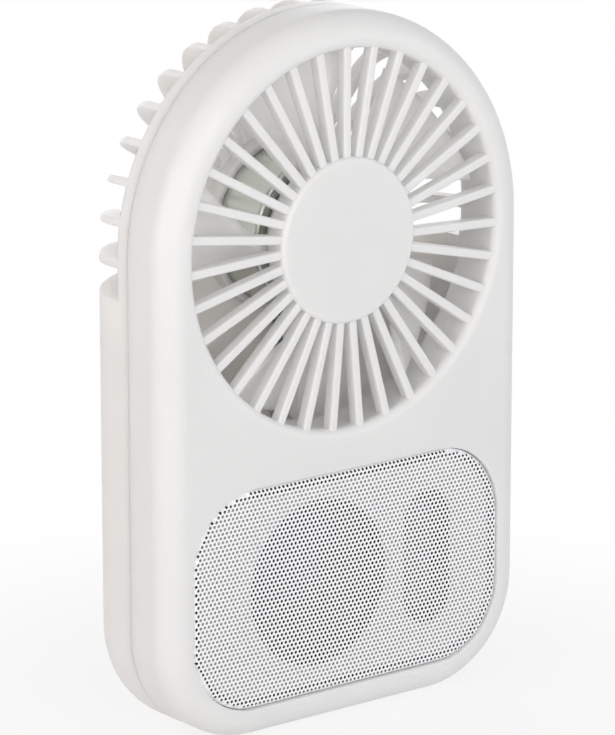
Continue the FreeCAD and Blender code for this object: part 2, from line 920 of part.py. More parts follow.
def make_rear_cover():
    """The rear moulding: band, open fins round the arch, motor seat and the closed lower tub."""
    part = Moulding("rear_cover")
    drawing = part.face(rear_rim)
    drawing.arch(ZERO)
    part.pad(drawing, z["body_depth"] - rear_rim)

    side, low = half_width - z["wall"], z["wall"]
    shoulder_z = fan_z - z["cavity_shoulder"]
    wall_radius = chamber_radius + z["chamber_wall"]
    shoulder_x = root(wall_radius * wall_radius - z["cavity_shoulder"] * z["cavity_shoulder"])
    corner = z["corner_round"] - z["wall"]
    turn_x, turn_z = half_width - z["corner_round"], z["corner_round"]
    drawing = part.face(rear_rim)
    drawing.outline(
        (side, turn_z),
        [
            (side, shoulder_z),
            (shoulder_x, shoulder_z),
            (-shoulder_x, shoulder_z, ZERO, fan_z, wall_radius, -1),
            (-side, shoulder_z),
            (-side, turn_z),
            (-turn_x, low, -turn_x, turn_z, corner, 1),
            (turn_x, low),
            (side, turn_z, turn_x, turn_z, corner, 1),
        ],
    )
    part.pocket(drawing, back_inner - rear_rim)
    tub_round = z["back_round"] - z["wall"]
    part.soften(tub_round, lambda edge: lies_at(edge, back_inner) and is_outer(edge, z["wall"]))

    drawing = part.face(rear_rim, (ZERO, fan_z))
    drawing.circle(ZERO, ZERO, chamber_radius)
    part.pocket(drawing, fan_plate - rear_rim)
    part.soften(z["fin_inner_round"], lambda edge: lies_at(edge, fan_plate))
    part.soften(z["back_round"], lambda edge: lies_at(edge, z["body_depth"]) and is_outer(edge, ZERO))

    drawing = part.face(seam)
    drawing.arch(z["wall"] - z["tongue_gap"])
    part.pocket(drawing, z["tongue_high"] + z["tongue_gap"])

    seat_inner = z["motor_radius"] + z["motor_seat_play"]
    drawing = part.face(fan_plate + z["wall"] / 2, (ZERO, fan_z))
    drawing.circle(ZERO, ZERO, seat_inner + z["motor_seat_wall"])
    drawing.circle(ZERO, ZERO, seat_inner)
    part.pad(drawing, z["motor_seat_high"] + z["wall"] / 2, forwards=True)

    for x, height in screw_places:
        drawing = part.face(seam)
        drawing.circle(x, height, z["screw_head_radius"] + z["screw_head_play"] + z["rear_pillar_wall"])
        part.pad(drawing, back_inner - seam + z["wall"] / 4)
    for x, height in screw_places:
        drawing = part.face(seam)
        drawing.circle(x, height, z["screw_radius"] + z["screw_passage_play"])
        part.pocket(drawing, z["body_depth"])
        drawing = part.face(screw_seat)
        drawing.circle(x, height, z["screw_head_radius"] + z["screw_head_play"])
        part.pocket(drawing, z["body_depth"])

    for x, height in board_hole_places:
        drawing = part.face(board_back)
        drawing.circle(x, height, z["board_post_radius"])
        part.pad(drawing, back_inner - board_back + z["wall"] / 2)
        drawing = part.face(board_back - z["overrun"])
        drawing.circle(x, height, z["board_screw_radius"] + z["screw_play"])
        part.pocket(drawing, z["board_screw_hole"] + z["overrun"])

    rib_width = battery_width + z["battery_rib_gap"] * 2
    rib_height = z["battery_height"] + z["battery_rib_gap"] * 2
    rib_corner = z["battery_corner"] + z["battery_rib_gap"]
    drawing = part.face(back_inner - z["battery_rib_high"])
    outer = [rib_width + z["battery_rib_wall"] * 2, rib_height + z["battery_rib_wall"] * 2]
    drawing.box(battery_x, z["battery_z"], outer[0], outer[1], rib_corner + z["battery_rib_wall"])
    drawing.box(battery_x, z["battery_z"], rib_width, rib_height, rib_corner)
    part.pad(drawing, z["battery_rib_high"] + z["wall"] / 4)

    middle = z["button_first_z"] + z["button_step"] * 3 / 2
    drawing = part.face(z["body_depth"] - z["recess_deep"])
    drawing.stadium(button_x, middle, z["recess_width"], z["recess_width"] + z["button_step"] * 3)
    part.pocket(drawing, z["recess_deep"] + z["overrun"])
    for _, height in button_places:
        drawing = part.face(back_inner - z["wall"])
        drawing.circle(button_x, height, z["button_radius"] + z["button_gap"])
        part.pocket(drawing, z["wall"] * 3)
    drawing = part.face(back_inner - z["wall"])
    drawing.circle(lamp_x, z["lamp_z"], z["lamp_radius"] + z["lamp_play"])
    part.pocket(drawing, z["wall"] * 3)

    slot_drawing = part.face(z["body_depth"] + z["overrun"], (ZERO, fan_z), first_slot_angle())
    slot_outline(slot_drawing)
    slot = part.pocket(slot_drawing, z["body_depth"] + z["overrun"] - z["band_depth"], forwards=True)
    part.repeat([slot], slot_drawing, z["slot_count"], z["fin_pitch"] * (z["slot_count"] - 1))
    part.soften(z["fin_edge_round"], is_fin_edge)

    drawing = part.face(fan_plate, (ZERO, fan_z))
    notch = z["lead_notch_width"] / 2
    drawing.sharp_box(-notch, -(chamber_radius + z["chamber_wall"] + z["overrun"]), notch, -z["motor_radius"] / 2)
    part.pocket(drawing, z["motor_seat_high"], forwards=True)

    drawing = part.flank(half_width + z["overrun"])
    drawing.stadium(port_depth, z["port_z"], z["port_high"] + z["port_gap"] * 2, z["port_width"] + z["port_gap"] * 2)
    part.pocket(drawing, z["overrun"] + z["wall"] * 2)
    part.done()


def first_slot_angle():
    """The first slot lies half a pitch beside a fin, with as many slots each side of the top."""
    return Size(90.0, "90") - z["fin_pitch"] * (z["slot_count"] - 1) / 2


def is_fin_edge(edge):
    """Whether an edge runs along a corner between a fin's flank and the housing's outer skin."""
    point = edge.valueAt((edge.FirstParameter + edge.LastParameter) / 2)
    reach = from_fan(edge) if point.z > fan_z.value else abs(point.x)
    depth = point.y + half_depth.value
    back_round, side, back = z["back_round"].value, half_width.value, z["body_depth"].value
    bend = math.hypot(reach - side + back_round, depth - back + back_round)
    if depth < z["band_depth"].value or not (close(reach, side) or close(depth, back) or close(bend, back_round)):
        return False
    pitch = z["fin_pitch"].value
    angle = math.degrees(math.atan2(point.z - fan_z.value, point.x))
    beside = (angle - 90 + pitch / 2) % pitch - pitch / 2
    across = from_fan(edge) * math.sin(math.radians(beside))
    return close(abs(across), z["fin_width"].value / 2)


def make_speaker_mesh():
    """The steel grille sheet with its rim folded back into the groove."""
    part = Moulding("speaker_mesh")
    drawing = part.face(z["mesh_set"])
    drawing.box(ZERO, z["mesh_middle_z"], mesh_width, z["mesh_height"], z["mesh_corner"])
    part.pad(drawing, z["mesh_rim_deep"])
    part.soften(z["mesh_rim_round"], lambda edge: lies_at(edge, z["mesh_set"]))
    drawing = part.face(z["mesh_set"] + z["mesh_sheet"])
    inner = [mesh_width - z["mesh_sheet"] * 2, z["mesh_height"] - z["mesh_sheet"] * 2]
    drawing.box(ZERO, z["mesh_middle_z"], inner[0], inner[1], z["mesh_corner"] - z["mesh_sheet"])
    part.pocket(drawing, z["mesh_rim_deep"])
    part.done()


def make_case_screws():
    """Four screws that hold the two covers together, with cross recesses."""
    screws = []
    for number, (x, height) in enumerate(screw_places):
        name = "case_screw_%d" % number
        length = screw_seat - z["screw_tip_depth"]
        shank = rod(name + "_shank", x, height, z["screw_tip_depth"], length, z["screw_radius"])
        head = rod(name + "_head", x, height, screw_seat, z["screw_head_high"], z["screw_head_radius"])
        screw = join(name + "_blank", [shank, head])
        screws.append(cross_recess(name, screw, x, height, screw_seat + z["screw_head_high"]))
    finish(bunch("case_screws_group", screws), "case_screws")


def cross_recess(name, screw, x, height, top):
    """Cuts a cross into a screw's head."""
    wide, deep = z["screw_recess_width"], z["screw_recess_deep"]
    long = z["screw_head_radius"] * 4 / 3
    level = block(name + "_level_slit", x - long / 2, long, top - deep, deep * 2, height - wide / 2, wide)
    upright = block(name + "_upright_slit", x - wide / 2, wide, top - deep, deep * 2, height - long / 2, long)
    return cut(name, screw, join(name + "_cross", [level, upright]))


# Motor and fan wheel


def turned_piece(name, middle, points):
    """A piece of revolution about an axis along the depth: points are (radius, depth)."""
    part = Moulding(name)
    drawing = part.side(middle)
    drawing.outline(points[0], [tuple(point) for point in points[1:]] + [tuple(points[0])])
    part.turn(drawing)
    return part


def make_motor():
    """The motor: steel can, end cap, bushes, magnets, and the rotor with its shaft."""
    fan = (ZERO, fan_z)
    front, wall = motor_front, z["motor_can_wall"]
    nose = front - z["motor_nose_high"]
    bush = z["bush_radius"] + z["bush_play"]
    part = turned_piece(
        "motor_can",
        fan,
        [
            (bush, nose),
            (z["motor_nose_radius"], nose),
            (z["motor_nose_radius"], front),
            (z["motor_radius"] - z["motor_edge_round"], front),
            (
                z["motor_radius"], front + z["motor_edge_round"],
                z["motor_radius"] - z["motor_edge_round"], front + z["motor_edge_round"], z["motor_edge_round"], 1,
            ),
            (z["motor_radius"], motor_back),
            (z["motor_radius"] - wall, motor_back),
            (z["motor_radius"] - wall, front + z["motor_edge_round"]),
            (z["motor_nose_radius"], front + wall),
            (z["motor_nose_radius"], nose + z["front_bush_length"]),
            (bush, nose + z["front_bush_length"]),
        ],
    )
    part.done()

    cap_front = motor_back - z["end_cap_thick"] / 2
    cap_back = motor_back + z["end_cap_thick"]
    cap_inner = z["motor_radius"] - wall - z["bush_play"]
    part = turned_piece(
        "motor_end_cap",
        fan,
        [
            (bush, cap_front),
            (cap_inner, cap_front),
            (cap_inner, motor_back),
            (z["motor_radius"] - z["end_cap_inset"], motor_back),
            (z["motor_radius"] - z["end_cap_inset"], cap_back),
            (bush, cap_back),
        ],
    )
    part.done()

    bore = z["shaft_radius"] + z["shaft_play"]
    finish(tube("front_bush", ZERO, fan_z, nose, z["front_bush_length"], z["bush_radius"], bore), "motor_front_bush")
    finish(
        tube("rear_bush", ZERO, fan_z, cap_front, z["end_cap_thick"] * 3 / 2, z["bush_radius"], bore),
        "motor_rear_bush",
    )
    shaft_back = cap_back - z["shaft_back_set"]
    finish(
        rod("shaft", ZERO, fan_z, z["shaft_front_depth"], shaft_back - z["shaft_front_depth"], z["shaft_radius"]),
        "motor_shaft",
    )
    make_motor_magnets()
    make_rotor()


def make_motor_magnets():
    """Two curved magnets inside the can, left and right."""
    part = Moulding("motor_magnets_blank")
    outer = z["motor_radius"] - z["motor_can_wall"] - z["press_play"]
    inner = outer - z["magnet_thick"]
    drawing = part.face(motor_front + z["magnet_end_set"], (ZERO, fan_z))
    half = z["magnet_angle"] / 2
    near = (inner * cosine(half), inner * sine(half))
    far = (outer * cosine(half), outer * sine(half))
    drawing.outline(
        (near[0], -near[1]),
        [
            (far[0], -far[1]),
            (far[0], far[1], ZERO, ZERO, outer, 1),
            (near[0], near[1]),
            (near[0], -near[1], ZERO, ZERO, inner, -1),
        ],
    )
    part.pad(drawing, rotor_length + (z["rotor_end_set"] - z["magnet_end_set"]) * 2)
    doc.recompute()
    other = doc.addObject("Part::Mirroring", "motor_magnet_left")
    other.Source = part.body
    other.Normal = Vector(1, 0, 0)
    finish(bunch("motor_magnets_group", [part.body, other]), "motor_magnets")


def make_rotor():
    """The slotted rotor core with its collector, pressed on the shaft."""
    part = Moulding("motor_rotor")
    radius = z["motor_radius"] - z["motor_can_wall"] - z["magnet_thick"] - z["rotor_gap"]
    drawing = part.face(rotor_front, (ZERO, fan_z))
    drawing.circle(ZERO, ZERO, radius)
    part.pad(drawing, rotor_length)
    half = z["rotor_slot_width"] / 2
    drawing = part.face(rotor_front - z["overrun"], (ZERO, fan_z))
    drawing.sharp_box(radius - z["rotor_slot_deep"], -half, radius + z["overrun"], half)
    slot = part.pocket(drawing, rotor_length + z["overrun"] * 2)
    part.repeat([slot], drawing, z["rotor_slots"], Size(360.0, "360"))
    back = rotor_front + rotor_length
    drawing = part.face(back, (ZERO, fan_z))
    drawing.circle(ZERO, ZERO, z["collector_radius"])
    part.pad(drawing, z["collector_length"])
    drawing = part.face(rotor_front - z["overrun"], (ZERO, fan_z))
    drawing.circle(ZERO, ZERO, z["shaft_radius"] + z["press_play"])
    part.pocket(drawing, z["body_depth"])
    part.done()


def make_impeller():
    """The fan wheel: a shallow hub cup with wide blades that reach back round the motor."""
    front = z["wheel_front_depth"]
    rim = front + z["wheel_hub_deep"]
    plate = front + z["wheel_hub_plate"]
    boss = front + z["wheel_boss_deep"]
    bore = z["shaft_radius"] + z["press_play"]
    cup = z["wheel_hub_radius"] - z["wheel_hub_wall"]
    part = turned_piece(
        "impeller",
        (ZERO, ZERO),
        [
            (ZERO, front),
            (z["wheel_hub_radius"], front),
            (z["wheel_hub_radius"], rim),
            (cup, rim),
            (cup, plate),
            (z["wheel_boss_radius"], plate),
            (z["wheel_boss_radius"], boss),
            (bore, boss),
            (bore, z["shaft_front_depth"]),
            (ZERO, z["shaft_front_depth"]),
        ],
    )
    tip = fan_radius - z["wheel_tip_play"]
    clear = z["motor_radius"] + z["blade_motor_play"]
    short = z["wheel_hub_deep"] - z["blade_front_set"] - z["blade_back_set"]
    # Each row: the station, its radius and how far back the blade reaches there
    stations = [
        ("root", z["wheel_hub_radius"] - z["wheel_hub_wall"] / 2, short),
        ("hub", clear, short),
        ("shoulder", clear + z["blade_shoulder"], z["blade_mid_deep"]),
        ("tip", tip + z["blade_thick"] / 2, z["blade_tip_deep"]),
    ]
    pitch = Size(360.0, "360") / z["blade_count"]
    blade_front = front + z["blade_front_set"]
    sections = []
    for station, radius, deep in stations:
        half = radius * sine(pitch) * blade_width_share[station]
        low = -half - radius * sine(pitch) * blade_sweep_share[station]
        high = low + half * 2
        flat = z["blade_thick"] * root(deep * deep + half * half * 4) / deep
        drawing = part.flank(radius)
        blade_back = blade_front + deep
        drawing.outline(
            (blade_front, low),
            [(blade_back, high - flat), (blade_back, high), (blade_front, low + flat), (blade_front, low)],
        )
        sections.append(drawing.sketch)
    blade = part.body.newObject("PartDesign::AdditiveLoft", "impeller_blade")
    blade.Profile = sections[0]
    blade.Sections = sections[1:]
    blade.Ruled = True
    part.body.Tip = blade
    spin = part.face(front)
    spin.circle(ZERO, ZERO, z["wheel_boss_radius"])
    part.repeat([blade], spin, z["blade_count"], Size(360.0, "360"))
    drawing = part.face(front - z["overrun"])
    drawing.circle(ZERO, ZERO, tip)
    drawing.circle(ZERO, ZERO, half_width)
    part.pocket(drawing, z["blade_tip_deep"] + z["overrun"] * 2)
    part.body.Placement = Placement(Vector(), Rotation(Vector(0, 1, 0), z["blade_first_angle"].value))
    bind(part.body, "Placement.Rotation.Angle", z["blade_first_angle"])
    bind(part.body, "Placement.Base.z", fan_z)
    part.done()


# Speaker and passive radiator


def make_speaker():
    """The speaker: frame, magnet system, moving parts, gasket, terminals and screws."""
    driver = (z["driver_x"], z["driver_z"])
    wall = z["basket_wall"]
    neck_front = basket_back - wall
    part = turned_piece(
        "speaker_frame",
        driver,
        [
            (z["flange_seat_radius"], flange_front),
            (z["flange_radius"], flange_front),
            (z["flange_radius"], flange_back),
            (z["flange_inner_radius"] + wall, flange_back),
            (z["basket_neck_radius"], basket_back),
            (z["basket_hole_radius"], basket_back),
            (z["basket_hole_radius"], neck_front),
            (z["basket_neck_radius"] - wall, neck_front),
            (z["flange_inner_radius"], flange_back),
            (z["flange_inner_radius"], surround_seat),
            (z["flange_seat_radius"], surround_seat),
        ],
    )
    drawing = part.face(flange_back + z["basket_window_set"], driver)
    half = z["basket_window_half"]
    drawing.sharp_box(z["basket_neck_radius"], -half, z["flange_radius"], half)
    window = part.pocket(drawing, basket_deep - z["flange_thick"] - z["basket_window_set"] * 2)
    part.repeat([window], drawing, z["basket_windows"], Size(360.0, "360"))
    part.done()

    coil_inner = z["pole_radius"] + z["coil_gap"]
    coil_outer = coil_inner + z["coil_thick"]
    gap_outer = coil_outer + z["coil_gap"]
    x, height = driver
    plate = tube("top_plate", x, height, basket_back, z["top_plate_thick"], z["top_plate_radius"], gap_outer)
    finish(plate, "speaker_top_plate")
    thick = ferrite_back - top_plate_back
    ring = tube("ferrite", x, height, top_plate_back, thick, z["magnet_radius"], z["ferrite_hole_radius"])
    finish(ring, "speaker_magnet")
    disc = rod("yoke_disc", x, height, ferrite_back, z["yoke_thick"], z["yoke_radius"])
    pole = rod("yoke_pole", x, height, basket_back, ferrite_back - basket_back + z["yoke_thick"], z["pole_radius"])
    vent = rod("yoke_vent", x, height, flange_front, z["body_depth"], z["yoke_vent_radius"])
    finish(cut("yoke_whole", join("yoke_blank", [disc, pole]), vent), "speaker_yoke")
    finish(tube("coil", x, height, cone_back, coil_length, coil_outer, coil_inner), "voice_coil")

    part = turned_piece(
        "driver_cone",
        driver,
        [
            (coil_inner, cone_back - z["cone_thick"]),
            (z["cone_radius"], surround_seat),
            (z["cone_radius"], surround_seat + z["cone_thick"]),
            (coil_inner + z["cone_foot"], cone_back),
            (coil_inner, cone_back),
        ],
    )
    part.done()
    cap_rim = cone_back - z["cone_thick"] - z["dust_cap_set"]
    cap_top = cap_rim - z["dust_cap_high"]
    high, radius, thick = z["dust_cap_high"], z["dust_cap_radius"], z["dust_cap_thick"]
    dome = (radius * radius + high * high) / (high * 2)
    part = turned_piece(
        "dust_cap",
        driver,
        [
            (ZERO, cap_top),
            (radius, cap_rim, ZERO, cap_top + dome, dome, 1),
            (radius, cap_rim + thick),
            (ZERO, cap_top + thick, ZERO, cap_top + thick + dome, dome, -1),
        ],
    )
    part.done()
    middle, outer, thick = z["roll_middle_radius"], z["roll_radius"], z["roll_thick"]
    inner = outer - thick
    land = surround_seat - thick
    shoulder = root(outer * outer - thick * thick)
    part = turned_piece(
        "driver_surround",
        driver,
        [
            (middle - outer, surround_seat),
            (middle + shoulder, land, middle, surround_seat, outer, 1),
            (z["flange_seat_radius"] - z["press_play"], land),
            (z["flange_seat_radius"] - z["press_play"], surround_seat),
            (middle + inner, surround_seat),
            (middle - inner, surround_seat, middle, surround_seat, inner, -1),
        ],
    )
    part.done()
    gasket = tube(
        "gasket", x, height, z["carrier_wall"], z["gasket_thick"], z["flange_radius"], z["gasket_inner_radius"]
    )
    finish(gasket, "speaker_gasket")
    low = z["driver_z"] - z["terminal_high"] / 2
    tab = block(
        "terminals", z["terminal_x"], z["terminal_width"], flange_back, z["terminal_thick"], low, z["terminal_high"]
    )
    finish(tab, "speaker_terminals")
    screws = []
    for number, (x, height) in enumerate(speaker_screw_places):
        name = "speaker_screw_%d" % number
        tip = z["speaker_screw_tip_depth"]
        screws.append(
            headed_screw(
                name, x, height, tip, flange_back, z["speaker_screw_radius"],
                z["speaker_screw_head_radius"], z["speaker_screw_head_high"],
            )
        )
    finish(bunch("speaker_screws_group", screws), "speaker_screws")


def make_radiator():
    """The passive radiator: frame, membrane with a bead, and the weight plate in its middle."""
    x, height = z["radiator_x"], z["radiator_z"]
    open_width, open_height = z["radiator_opening_width"], z["radiator_opening_height"]
    front = z["carrier_wall"]

    def ring(part, depth, deep, outer_inset, inner_inset):
        drawing = part.face(depth)
        for inset in (outer_inset, inner_inset):
            drawing.stadium(x, height, open_width - inset * 2, open_height - inset * 2)
        part.pad(drawing, deep)
        return drawing

    part = Moulding("radiator_frame")
    ring(part, front, z["radiator_thick"], -z["radiator_border"], ZERO)
    drawing = part.face(front)
    seat = z["radiator_seat"]
    drawing.stadium(x, height, open_width + seat * 2, open_height + seat * 2)
    part.pocket(drawing, z["radiator_seat_deep"])
    part.done()
    part = Moulding("radiator_membrane")
    inner = z["bead_inset"] * 2 + z["bead_width"]
    ring(part, front, z["radiator_seat_deep"], z["radiator_seat_play"] - seat, inner)
    ring(
        part, front + z["radiator_seat_deep"] / 2, z["radiator_seat_deep"] / 2 + z["bead_high"],
        z["bead_inset"], z["bead_inset"] + z["bead_width"],
    )
    part.done()
    part = Moulding("radiator_plate")
    drawing = part.face(front)
    inset = inner + z["radiator_plate_gap"]
    drawing.stadium(x, height, open_width - inset * 2, open_height - inset * 2)
    part.pad(drawing, z["radiator_plate_thick"])
    part.done()


# Battery, board and buttons


def make_battery():
    """The flat cell with its small protection board and the foam pad that holds it."""
    part = Moulding("battery_cell")
    drawing = part.face(battery_front)
    drawing.box(battery_x, z["battery_z"], battery_width, z["battery_height"], z["battery_corner"])
    part.pad(drawing, z["battery_thick"])
    part.soften(z["battery_edge"], lambda edge: lies_at(edge, battery_front) or lies_at(edge, battery_back))
    part.done()
    width = battery_width - z["battery_pad_inset"] * 2
    high = z["battery_height"] - z["battery_pad_inset"] * 2
    pad = block(
        "pad", battery_x - width / 2, width, battery_back, z["battery_pad_thick"], z["battery_z"] - high / 2, high
    )
    finish(pad, "battery_pad")
    cell_board_width = battery_width * cell_board_share
    board = block(
        "cell_board", battery_x - cell_board_width / 2, cell_board_width,
        board_front - z["battery_board_set"], z["battery_board_thick"],
        z["battery_z"] + z["battery_height"] / 2, z["battery_board_high"],
    )
    finish(board, "battery_board")


def make_board():
    """The main board with its chips, screws, socket, switches and lamp."""
    front = board_front
    part = Moulding("main_board")
    drawing = part.face(front)
    middle_x = board_left + z["board_width"] / 2
    middle_z = z["board_bottom_z"] + z["board_height"] / 2
    drawing.box(middle_x, middle_z, z["board_width"], z["board_height"], z["board_corner"])
    for x, height in board_hole_places:
        drawing.circle(x, height, z["board_screw_radius"] + z["screw_passage_play"])
    part.pad(drawing, z["board_thick"])
    part.done()
    chips = []
    for name in ("audio_chip", "power_chip", "coil_box", "radio_module"):
        side, thick = z[name + "_side"], z[name + "_thick"]
        chips.append(block(name, board_left + z[name + "_x"], side, front - thick, thick, z[name + "_z"], side))
    finish(bunch("chips_group", chips), "board_chips")
    screws = []
    for number, (x, height) in enumerate(board_hole_places):
        screws.append(
            headed_screw(
                "board_screw_%d" % number, x, height, front + z["board_screw_length"], front,
                z["board_screw_radius"], z["board_screw_head_radius"], -z["board_screw_head_high"],
            )
        )
    finish(bunch("board_screws_group", screws), "board_screws")

    part = Moulding("usb_port")
    drawing = part.flank(port_left)
    drawing.stadium(port_depth, z["port_z"], z["port_high"], z["port_width"])
    part.pad(drawing, z["port_length"], forwards=True)
    drawing = part.flank(port_left + z["port_length"])
    wall = z["port_wall"] * 2
    drawing.stadium(port_depth, z["port_z"], z["port_high"] - wall, z["port_width"] - wall)
    part.pocket(drawing, z["port_length"] - z["port_back_wall"])
    drawing = part.flank(port_left)
    thick, wide = z["port_tongue_thick"] / 2, z["port_tongue_width"] / 2
    drawing.sharp_box(port_depth - thick, z["port_z"] - wide, port_depth + thick, z["port_z"] + wide)
    part.pad(drawing, z["port_length"] - z["port_tongue_set"], forwards=True)
    part.done()
    lamp = z["lamp_chip_side"]
    chip = block(
        "lamp_chip", lamp_x - lamp / 2, lamp, board_back, z["lamp_chip_high"], z["lamp_z"] - lamp / 2, lamp
    )
    finish(chip, "indicator_light")
    pipe_front = board_back + z["lamp_chip_high"] + z["lamp_pipe_set"]
    pipe_back = z["body_depth"] - z["lamp_top_set"]
    pipe = rod("light_pipe", lamp_x, z["lamp_z"], pipe_front, pipe_back - pipe_front, z["lamp_radius"])
    collar_front = back_inner - z["lamp_flange_thick"]
    collar = rod(
        "light_collar", lamp_x, z["lamp_z"], collar_front, z["lamp_flange_thick"],
        z["lamp_radius"] + z["lamp_flange"],
    )
    finish(join("light_pipe_whole", [pipe, collar]), "indicator_lens")


def headed_screw(name, x, height, tip, seat, radius, head_radius, head_high):
    """A plain screw: the shank runs from its tip to its seat, and the head stands beyond the seat."""
    if tip.value < seat.value:
        shank = rod(name + "_shank", x, height, tip, seat - tip, radius)
        head = rod(name + "_head", x, height, seat, head_high, head_radius)
    else:
        shank = rod(name + "_shank", x, height, seat, tip - seat, radius)
        head = rod(name + "_head", x, height, seat + head_high, -head_high, head_radius)
    return join(name, [shank, head])


def make_buttons():
    """Four push buttons: a cap in the back wall, a switch on the board and its plunger."""
    side = z["switch_side"]
    bore = z["plunger_radius"] + z["plunger_play"]
    bodies = []
    for name, height in button_places:
        x = button_x
        flange = z["button_radius"] + z["button_flange"]
        top_round = z["button_radius"] - z["button_round"]
        part = turned_piece(
            name,
            (x, height),
            [
                (ZERO, button_flange_front),
                (flange, button_flange_front),
                (flange, button_flange_back),
                (z["button_radius"], button_flange_back),
                (z["button_radius"], button_top - z["button_round"]),
                (top_round, button_top, top_round, button_top - z["button_round"], z["button_round"], 1),
                (ZERO, button_top),
            ],
        )
        part.done()
        housing = block(name + "_housing", x - side / 2, side, board_back, z["switch_high"], height - side / 2, side)
        well_front = board_back + z["switch_floor"]
        well = rod(name + "_well", x, height, well_front, z["switch_high"] + z["overrun"], bore)
        bodies.append(cut(name + "_switch", housing, well))
        plunger_front = well_front + z["button_travel"] + z["plunger_play"]
        plunger_back = button_flange_front - z["plunger_gap"]
        plunger = rod(name + "_stem", x, height, plunger_front, plunger_back - plunger_front, z["plunger_radius"])
        finish(plunger, name.replace("_button", "_plunger"))
    finish(bunch("switches_group", bodies), "switch_bodies")


# Leads


def lead(name, points):
    """A round lead along straight runs joined by arcs, through points of (x, depth, height)."""
    corners = [Vector(x.value, depth_to_y(depth).value, height.value) for x, depth, height in points]
    bend, radius = z["lead_bend"].value, z["lead_radius"].value
    runs = []
    here = corners[0]
    for before, corner, after in zip(corners, corners[1:], corners[2:]):
        back = (before - corner).normalize()
        onward = (after - corner).normalize()
        start, end = corner + back * bend, corner + onward * bend
        middle = corner + (back + onward) * bend
        halfway = middle - (back + onward).normalize() * bend
        runs.append(Part.LineSegment(here, start).toShape())
        runs.append(Part.Arc(start, halfway, end).toShape())
        here = end
    runs.append(Part.LineSegment(here, corners[-1]).toShape())
    path = Part.Wire(runs)
    ring = Part.Wire([Part.Circle(corners[0], corners[1] - corners[0], radius).toShape()])
    thing = doc.addObject("Part::Feature", name)
    thing.Shape = path.makePipeShell([ring], True, False)
    return thing


def make_leads():
    """The pairs of leads from motor, speaker and battery to the main board."""
    step = z["lead_step"]
    motor_start = fan_z - z["motor_radius"] + z["end_cap_inset"]
    pairs = {"motor_leads": [], "speaker_leads": [], "battery_leads": []}
    for number in (0, 1):
        x = step / 2 - step * number
        height = z["motor_lead_z"] - step * number
        end_x = board_left + z["motor_lead_inset"] - step * number
        depth = board_back + z["motor_lead_room"]
        points = [(x, depth, motor_start), (x, depth, height), (end_x, depth, height), (end_x, board_back, height)]
        pairs["motor_leads"].append(lead("motor_lead_%d" % number, points))
        height = z["speaker_lead_z"] + step * number
        x, end_x = z["speaker_lead_x"], board_left + z["speaker_lead_inset"]
        start, back, end = flange_back + z["terminal_thick"], board_front - z["front_lead_room"], board_front
        points = [(x, start, height), (x, back, height), (end_x, back, height), (end_x, end, height)]
        pairs["speaker_leads"].append(lead("speaker_lead_%d" % number, points))
        height = z["battery_lead_z"] + step * number
        start_x = battery_x + battery_width * cell_board_share / 2
        depth = board_front - z["battery_board_set"] + z["battery_board_thick"] / 2
        x, end_x = battery_right - z["battery_lead_room"], board_left + z["battery_lead_inset"]
        points = [(start_x, depth, height), (x, depth, height), (x, back, height)]
        points += [(end_x, back, height), (end_x, end, height)]
        pairs["battery_leads"].append(lead("battery_lead_%d" % number, points))
    for name, leads in pairs.items():
        finish(bunch(name + "_group", leads), name)


make_front_cover()
make_rear_cover()
make_speaker_mesh()
make_case_screws()
make_motor()
make_impeller()
make_speaker()
make_radiator()
make_battery()
make_board()
make_buttons()
make_leads()


def check_and_write():
    """Sees that every object is sound, then writes each piece to its own file."""
    doc.recompute()
    faults = []
    for thing in doc.Objects:
        if {"Invalid", "Error"} & set(thing.State):
            faults.append("%s: %s" % (thing.Label, thing.State))
    for piece in pieces:
        if piece.Shape.isNull() or not piece.Shape.isValid():
            faults.append("%s has no sound shape" % piece.Label)
    if faults:
        raise RuntimeError("; ".join(faults))
    for piece in pieces:
        piece.Shape.exportStep("parts/%s.step" % piece.Label)
        box = piece.Shape.BoundBox
        print("%-22s solids %d volume %.1f  x %.2f %.2f  y %.2f %.2f  z %.2f %.2f" % (
            piece.Label, len(piece.Shape.Solids), piece.Shape.Volume,
            box.XMin, box.XMax, box.YMin, box.YMax, box.ZMin, box.ZMax))


check_and_write()
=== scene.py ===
import math

import bmesh
import bpy
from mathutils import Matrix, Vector
from mathutils.geometry import delaunay_2d_cdt


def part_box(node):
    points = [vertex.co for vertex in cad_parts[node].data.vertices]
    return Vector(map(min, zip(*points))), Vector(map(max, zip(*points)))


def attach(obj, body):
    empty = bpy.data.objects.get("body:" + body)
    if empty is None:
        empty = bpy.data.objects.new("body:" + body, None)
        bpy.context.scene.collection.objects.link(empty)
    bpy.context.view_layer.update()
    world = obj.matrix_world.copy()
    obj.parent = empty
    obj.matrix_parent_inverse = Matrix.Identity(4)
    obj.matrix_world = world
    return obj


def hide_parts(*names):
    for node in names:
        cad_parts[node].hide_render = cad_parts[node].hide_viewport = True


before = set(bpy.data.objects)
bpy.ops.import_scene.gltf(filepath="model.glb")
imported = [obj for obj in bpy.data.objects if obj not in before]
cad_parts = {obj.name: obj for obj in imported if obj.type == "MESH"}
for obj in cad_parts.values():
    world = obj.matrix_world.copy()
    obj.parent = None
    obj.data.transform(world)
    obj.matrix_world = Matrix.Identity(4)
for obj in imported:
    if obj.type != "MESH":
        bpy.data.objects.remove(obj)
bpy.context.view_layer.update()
MM = 0.001


# Node helpers

# A mix node's colour sockets, which share their names with sockets of other kinds
MIX_FIRST = 6
MIX_SECOND = 7
MIX_RESULT = 2


def empty_tree(owner, output):
    """The emptied node tree of a material or a world, and its output's surface socket."""
    owner.use_nodes = True
    tree = owner.node_tree
    tree.nodes.clear()
    return tree, tree.nodes.new(output).inputs["Surface"]


